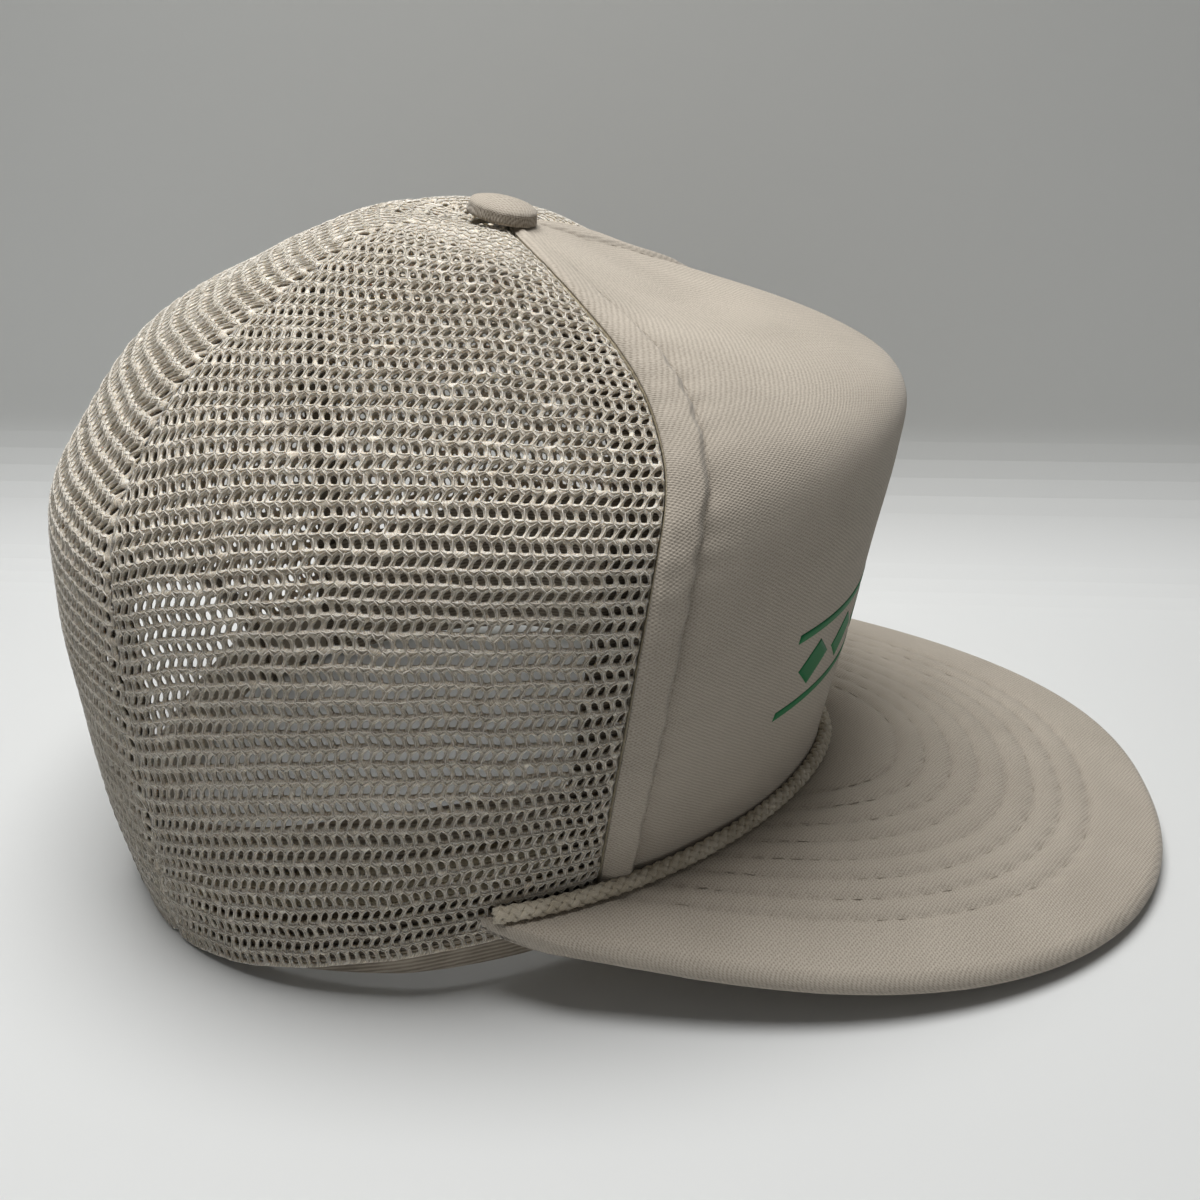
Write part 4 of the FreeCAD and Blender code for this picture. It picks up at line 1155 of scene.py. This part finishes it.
def tube(bm, line, outward, wide, tall, sides):
    """Flattened strand along a line, its thin side facing outward, closed at both ends."""
    ahead = np.gradient(line, axis=0)
    ahead /= np.linalg.norm(ahead, axis=1, keepdims=True)
    across = np.cross(ahead, outward)
    across /= np.linalg.norm(across, axis=1, keepdims=True)
    over = np.cross(across, ahead)
    ring = bmesh.ops.create_circle(bm, cap_ends=True, segments=sides, radius=1.0)["verts"]
    edges = list(dict.fromkeys(e for v in ring for e in v.link_edges))
    rings = [ring]
    for _ in range(len(line) - 1):
        out = bmesh.ops.extrude_edge_only(bm, edges=edges)["geom"]
        rings.append([part for part in out if isinstance(part, bmesh.types.BMVert)])
        edges = [part for part in out if isinstance(part, bmesh.types.BMEdge)]
    bmesh.ops.edgeloop_fill(bm, edges=edges)
    for verts, c, a, o in zip(rings, line, across, over):
        for k, v in enumerate(verts):
            turn = math.atan2(v.co.y, v.co.x)
            v.co = Vector(c + a * (wide * math.cos(turn)) + o * (tall * math.sin(turn)))


# ------------------------------------------------------------------------------------ button
class CAP_OT_button(bpy.types.Operator):
    """Makes the fabric-covered button and finishes its metal parts"""
    bl_idname = "cap.button"
    bl_label = "Button"

    def execute(self, context):
        f = make_finishes()
        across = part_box("button_cover")
        radius, height = (across[1].x - across[0].x) / 2 / MM, BUTTON_HEIGHT
        base = np.array([0, BUTTON_Y + BUTTON_BACK, CROWN_HEIGHT * SIDE_CURVE[-1][1] + BUTTON_UP])
        tilt = np.array(Matrix.Rotation(math.radians(BUTTON_TILT), 3, "X"))
        bm = grid(72, 30)

        def place(flat):
            """Runs from the middle of the top, v 0, over the rim and in under it, v 1."""
            turn, v = flat[:, 0] * math.tau, flat[:, 1]
            a = np.clip(v / BUTTON_RIM, 0, 1) * math.pi / 2
            r = radius * np.sin(a) ** 0.8
            z = height * (0.36 + 0.50 * np.cos(a) ** 0.8)
            under = np.clip((v - BUTTON_RIM) / (1 - BUTTON_RIM), 0, 1)
            z = z - height * 0.46 * np.clip(under * 2, 0, 1)
            r = r - 1.8 * np.clip(under * 2 - 1, 0, 1) + 0.2 * np.sin(under * math.pi)
            pleat = 0.10 * np.sin(turn * 14 + 0.8 * np.sin(turn * 5)) * ease(0.5, 0.85, v)
            uneven = 0.03 * ripple(r * np.cos(turn), r * np.sin(turn), 5.0, 51)
            points = np.stack([(r + pleat) * np.cos(turn), (r + pleat) * np.sin(turn), z + uneven], axis=1)
            arc = v * (radius + height)
            uv = np.stack([arc * np.cos(turn), arc * np.sin(turn)], axis=1)
            # The last value is painted shade: an even darkening of the whole cloth, with more down the
            # button's side and under its rim.
            return points @ tilt.T + base, uv, 0.45 + 0.5 * ease(0.62, 0.80, v)

        cover = wrap(bm, "button_cloth", place, f["tricot"], replaces=["button_cover"],
                     weld=0.02)
        paint_nodes(["button_shell", "button_rivet", "rivet_washer"], f["steel"])
        return {"FINISHED"}


# ------------------------------------------------------------------------------------ rear opening
class CAP_OT_rear_opening(bpy.types.Operator):
    """Makes the binding round the rear opening and finishes the snap strap"""
    bl_idname = "cap.rear_opening"
    bl_label = "Rear Opening"

    def execute(self, context):
        f = make_finishes()
        bm = grid(150, 14)

        def place(flat):
            v = flat[:, 0] * 2 - 1
            turn = flat[:, 1] * math.tau
            leg, arc = OPENING_STRAIGHT, OPENING_ARC
            s = v * (leg + arc)
            a = np.clip(np.abs(s) / arc, 0, 1) * math.pi / 2
            half, height = OPENING_HALF + BINDING / 2, OPENING_HEIGHT + BINDING / 2
            x = half * np.sin(a) * np.sign(v)
            z = OPENING_STRAIGHT + (height - OPENING_STRAIGHT) * np.cos(a)
            z = np.where(np.abs(s) > arc, OPENING_STRAIGHT - (np.abs(s) - arc) * OPENING_STRAIGHT / leg, z)
            out_x, out_z = np.sin(a) * np.sign(v), np.cos(a)
            puff = 1 + 0.05 * np.sin(s * math.tau / 3.2)
            across = 2.0 * np.cos(turn) * puff
            px, pz = x + out_x * across, np.clip(z + out_z * across, 0.05, None)
            angle, t = on_back(px, pz)
            lift = -MESH_OUTER - 0.6 + 1.6 * np.sign(np.sin(turn)) * np.abs(np.sin(turn)) ** 0.7 * puff
            groove = np.exp(-((np.cos(turn) - 0.35) / 0.16) ** 2)
            return crown(angle, t, lift), np.stack([across, s], axis=1), groove

        tape = wrap(bm, "opening_binding", place, f["tape"], replaces=["arch_binding"],
                    weld=0.02)
        paint_nodes(["hole_strap", "stud_strap", "hole_strap_tab", "stud_strap_tab"], f["plastic"])
        return {"FINISHED"}


def on_back(x, z):
    """Angle and t of the back of the crown at this x and z."""
    angle, t = np.full_like(x, 180.0), np.full_like(x, 0.2)
    for _ in range(30):
        p = skin(angle, t)
        t = np.clip(t + (z - p[:, 2]) / 200, 0.0, 1.0)
        angle = np.clip(angle - (np.abs(x) - p[:, 0]) * 0.5, 90.0, 180.0)
    return np.where(x < 0, 360 - angle, angle), t


# ------------------------------------------------------------------------------------ stage
class CAP_OT_stage(bpy.types.Operator):
    """Makes the floor, soft studio lights and the camera"""
    bl_idname = "cap.stage"
    bl_label = "Stage"

    def execute(self, context):
        sizes = cap_sizes()
        self.backdrop(sizes.wall_distance)
        light = bpy.data.lights.new("key", "AREA")
        light.shape, light.size, light.energy = "DISK", LAMP_SIZE, sizes.key_power
        lamp = bpy.data.objects.new("key", light)
        bpy.context.collection.objects.link(lamp)
        lamp.location = LAMP_PLACE
        world = bpy.data.worlds.new("studio")
        world.use_nodes = True
        world.node_tree.nodes["Background"].inputs[0].default_value = context.scene.cap_colours.light
        world.node_tree.nodes["Background"].inputs[1].default_value = sizes.room_light
        bpy.context.scene.world = world
        self.camera()
        bpy.context.scene.view_settings.view_transform = "Standard"
        return {"FINISHED"}

    def backdrop(self, wall):
        """White board that sweeps up into a wall on the far side; its colour darkens up the wall as painted
        shade, most at the top. Its back lets light and sight through.
        """
        bend, count = BOARD_BEND, BOARD_STEPS
        bm = bmesh.new()
        start = bmesh.ops.create_vert(bm, co=(-6.0, -5.0, 0))["vert"][0]
        line = [start]
        for step in [(wall - bend + 6.0, 0)] + [(0.0, 0.0)] * count + [(0.0, 3.0)]:
            k = len(line) - 1
            if 1 <= k <= count:
                a, b = math.radians(90 * (k - 1) / count), math.radians(90 * k / count)
                step = (bend * (math.sin(b) - math.sin(a)), bend * (math.cos(a) - math.cos(b)))
            tip = bmesh.ops.create_vert(bm, co=line[-1].co + Vector((step[0], 0, step[1])))["vert"][0]
            bm.edges.new((line[-1], tip))
            line.append(tip)
        out = bmesh.ops.extrude_edge_only(bm, edges=bm.edges[:])["geom"]
        verts = [part for part in out if isinstance(part, bmesh.types.BMVert)]
        bmesh.ops.translate(bm, verts=verts, vec=(0, 10.0, 0))
        bmesh.ops.translate(bm, verts=bm.verts, vec=(0, 0, CAD_BOX[0].z - 0.0002))
        me = bpy.data.meshes.new("backdrop")
        for face in bm.faces:
            face.smooth = True
            if face.calc_center_median().x < 0 and face.normal.z < 0:
                bmesh.ops.reverse_faces(bm, faces=bm.faces[:])
                break
        bm.to_mesh(me)
        bm.free()
        board = bpy.data.objects.new("backdrop", me)
        bpy.context.collection.objects.link(board)
        colours = bpy.context.scene.cap_colours
        material, tree, shader = surface("painted_board", Roughness=0.8, Specular_IOR_Level=0.15)
        place = add(tree, "ShaderNodeTexCoord").outputs["Object"]
        height = add(tree, "ShaderNodeSeparateXYZ", {"Vector": place}).outputs[2]
        tint = colours.floor
        # Painted shade: the colour darkens from the floor over the bend, then more up to the top of the wall.
        for low, high, above in ((0.0, 0.06, colours.wall_foot), (0.07, 0.34, colours.wall_top)):
            share = add(tree, "ShaderNodeMapRange", {"Value": height, 1: low, 2: high},
                        interpolation_type="SMOOTHSTEP").outputs[0]
            tint = add(tree, "ShaderNodeMix", {"Factor": share, 6: tint, 7: above},
                       data_type="RGBA").outputs[2]
        tree.links.new(tint, shader.inputs["Base Color"])
        clear = add(tree, "ShaderNodeBsdfTransparent")
        back = add(tree, "ShaderNodeNewGeometry").outputs["Backfacing"]
        both = add(tree, "ShaderNodeMixShader", {0: back, 1: shader.outputs[0], 2: clear.outputs[0]})
        tree.links.new(both.outputs[0], tree.nodes["Material Output"].inputs["Surface"])
        board.data.materials.append(material)

    def camera(self):
        data = bpy.data.cameras.new("camera")
        data.lens, data.sensor_width = 36.0, 36.0
        data.clip_start = 0.01
        camera = bpy.data.objects.new("camera", data)
        bpy.context.collection.objects.link(camera)
        yaw, pitch, roll = (math.radians(a) for a in (CAMERA_YAW, CAMERA_PITCH, CAMERA_ROLL))
        back = Vector((math.sin(yaw) * math.cos(pitch), -math.cos(yaw) * math.cos(pitch), math.sin(pitch)))
        right = (-back).cross(Vector((0, 0, 1))).normalized()
        up = right.cross(-back)
        right, up = right * math.cos(roll) + up * math.sin(roll), up * math.cos(roll) - right * math.sin(roll)
        turn = Matrix((right, up, back)).transposed().to_4x4()
        camera.matrix_world = Matrix.Translation(CAMERA_PLACE) @ turn
        bpy.context.scene.camera = camera


# ------------------------------------------------------------------------------------ add-on
class CapSizes(bpy.types.PropertyGroup):
    hole_pitch: FloatProperty(name="Hole Pitch", description="Distance between holes along a row",
                              default=0.0024, unit="LENGTH")
    strut_width: FloatProperty(name="Strut Width", description="Knitted strut between two holes",
                               default=0.00074, unit="LENGTH")
    strand_width: FloatProperty(name="Strand Width", description="Bright filament on the net",
                                default=0.00030, unit="LENGTH")
    lean: FloatProperty(name="Lean", description="How far struts lean across one row",
                        default=0.0007, unit="LENGTH")
    row_pitch_hem: FloatProperty(name="Row Pitch", description="Height of a row at the hem",
                                 default=0.0043, unit="LENGTH")
    net_thickness: FloatProperty(name="Net Thickness", description="Thickness of the knit",
                                 default=0.0006, unit="LENGTH")
    stitch_rows: IntProperty(name="Stitch Rows", description="Rows of stitching on the visor", default=8)
    row_step: FloatProperty(name="Row Step", description="Rows apart at the visor's sides",
                            default=0.0053, unit="LENGTH")
    row_step_tip: FloatProperty(name="Row Step At Tip", description="Rows apart at the visor's tip",
                                default=0.0069, unit="LENGTH")
    stitch_pitch: FloatProperty(name="Stitch Pitch", description="Length of a visor stitch and its gap",
                                default=0.0045, unit="LENGTH")
    rope_diameter: FloatProperty(name="Rope Diameter", description="Braided rope over its strands",
                                 default=0.0040, unit="LENGTH")
    rope_lay: FloatProperty(name="Rope Lay", description="Length of one turn of a strand",
                            default=0.0116, unit="LENGTH")
    motif_pitch: FloatProperty(name="Motif Pitch", description="Distance between printed lozenges",
                               default=0.014, unit="LENGTH")
    wall_distance: FloatProperty(name="Wall Distance", description="Backdrop's wall from the cap's middle",
                                 default=0.15, unit="LENGTH")
    key_power: FloatProperty(name="Key Light", description="Power of the overhead light, in watts",
                             default=4.6)
    room_light: FloatProperty(name="Room Light", description="Strength of the even light all round",
                              default=0.105)
    motif_height: FloatProperty(name="Motif Height", description="Middle of the printed border above the hem",
                                default=0.052, unit="LENGTH")


def colour_of(name, description, colour):
    """Colour setting with an sRGB hex default."""
    return FloatVectorProperty(name=name, description=description, subtype="COLOR", size=4, min=0.0, max=1.0,
                               default=linear(colour))


class CapColours(bpy.types.PropertyGroup):
    tricot: colour_of("Front Cloth", "Lit side of the brushed cloth on the foam", "#c3b9ab")
    tricot_shade: colour_of("Front Cloth Shade", "Hollows of the brushed cloth on the foam", "#756c60")
    net: colour_of("Net", "Lit side of the knitted net", "#ebe3d5")
    net_shade: colour_of("Net Shade", "Hollows of the knitted net", "#a89d8c")
    strand: colour_of("Filament", "Lit side of the bright filaments of the net", "#fbf5ea")
    strand_shade: colour_of("Filament Shade", "Hollows of the bright filaments of the net", "#e4dbcb")
    rope: colour_of("Rope", "Lit side of the braided rope", "#f6ecd8")
    rope_shade: colour_of("Rope Shade", "Hollows of the braided rope", "#b9ab92")
    tape: colour_of("Tape", "Lit side of the seam and hem tapes", "#8f8577")
    tape_shade: colour_of("Tape Shade", "Hollows of the seam and hem tapes", "#6d6456")
    band: colour_of("Sweatband", "Lit side of the ribbed sweatband", "#b4a999")
    band_shade: colour_of("Sweatband Shade", "Hollows of the ribbed sweatband", "#83796b")
    thread: colour_of("Thread", "Lit side of the sewing thread", "#b8ae9f")
    thread_shade: colour_of("Thread Shade", "Hollows of the sewing thread", "#948a7c")
    foam: colour_of("Foam", "Lit side of the open foam", "#c9bfa9")
    foam_shade: colour_of("Foam Shade", "Hollows of the open foam", "#a2977f")
    plastic: colour_of("Strap", "Lit side of the snap strap", "#b3a898")
    plastic_shade: colour_of("Strap Shade", "Hollows of the snap strap", "#a89d8d")
    board: colour_of("Board", "Lit side of the visor board", "#e4e2dc")
    board_shade: colour_of("Board Shade", "Hollows of the visor board", "#d6d3cb")
    steel: colour_of("Steel", "Lit side of the button shell and rivet", "#c6c5c2")
    steel_shade: colour_of("Steel Shade", "Hollows of the button shell and rivet", "#a9a8a5")
    ink: colour_of("Ink", "Lit side of the printed border", "#0f7a46")
    ink_shade: colour_of("Ink Shade", "Hollows of the printed border", "#0a6a3c")
    floor: colour_of("Floor", "Board under the cap", "#dfe0df")
    # Wall Foot and Wall Top are painted shade: the board darkens from the floor up the wall, most at its top.
    wall_foot: colour_of("Wall Foot", "Foot of the wall", "#c6c7c5")
    wall_top: colour_of("Wall Top", "Top of the wall", "#aaaba8")
    light: colour_of("Room Light", "Light all round", "#ffffff")


class CAP_PT_panel(bpy.types.Panel):
    """Lists the cap's pieces in the sidebar"""
    bl_idname = "CAP_PT_panel"
    bl_label = "Trucker Cap"
    bl_space_type = "VIEW_3D"
    bl_region_type = "UI"
    bl_category = "Cap"

    def draw(self, context):
        for operator in OPERATORS:
            self.layout.operator(operator.bl_idname)
        for group in (context.scene.cap_sizes, context.scene.cap_colours):
            for name in type(group).__annotations__:
                self.layout.prop(group, name)


OPERATORS = (CAP_OT_front_panel, CAP_OT_mesh_panels, CAP_OT_linings, CAP_OT_visor, CAP_OT_rope, CAP_OT_button,
             CAP_OT_rear_opening, CAP_OT_stage)
CLASSES = (CapSizes, CapColours, *OPERATORS, CAP_PT_panel)


def register():
    for cls in CLASSES:
        bpy.utils.register_class(cls)
    bpy.types.Scene.cap_sizes = PointerProperty(type=CapSizes)
    bpy.types.Scene.cap_colours = PointerProperty(type=CapColours)


def unregister():
    del bpy.types.Scene.cap_colours
    del bpy.types.Scene.cap_sizes
    for cls in reversed(CLASSES):
        bpy.utils.unregister_class(cls)


def main():
    register()
    bpy.ops.cap.front_panel()
    bpy.ops.cap.mesh_panels()
    bpy.ops.cap.linings()
    bpy.ops.cap.visor()
    bpy.ops.cap.rope()
    bpy.ops.cap.button()
    bpy.ops.cap.rear_opening()
    bpy.ops.cap.stage()


if __name__ == "__main__":
    main()
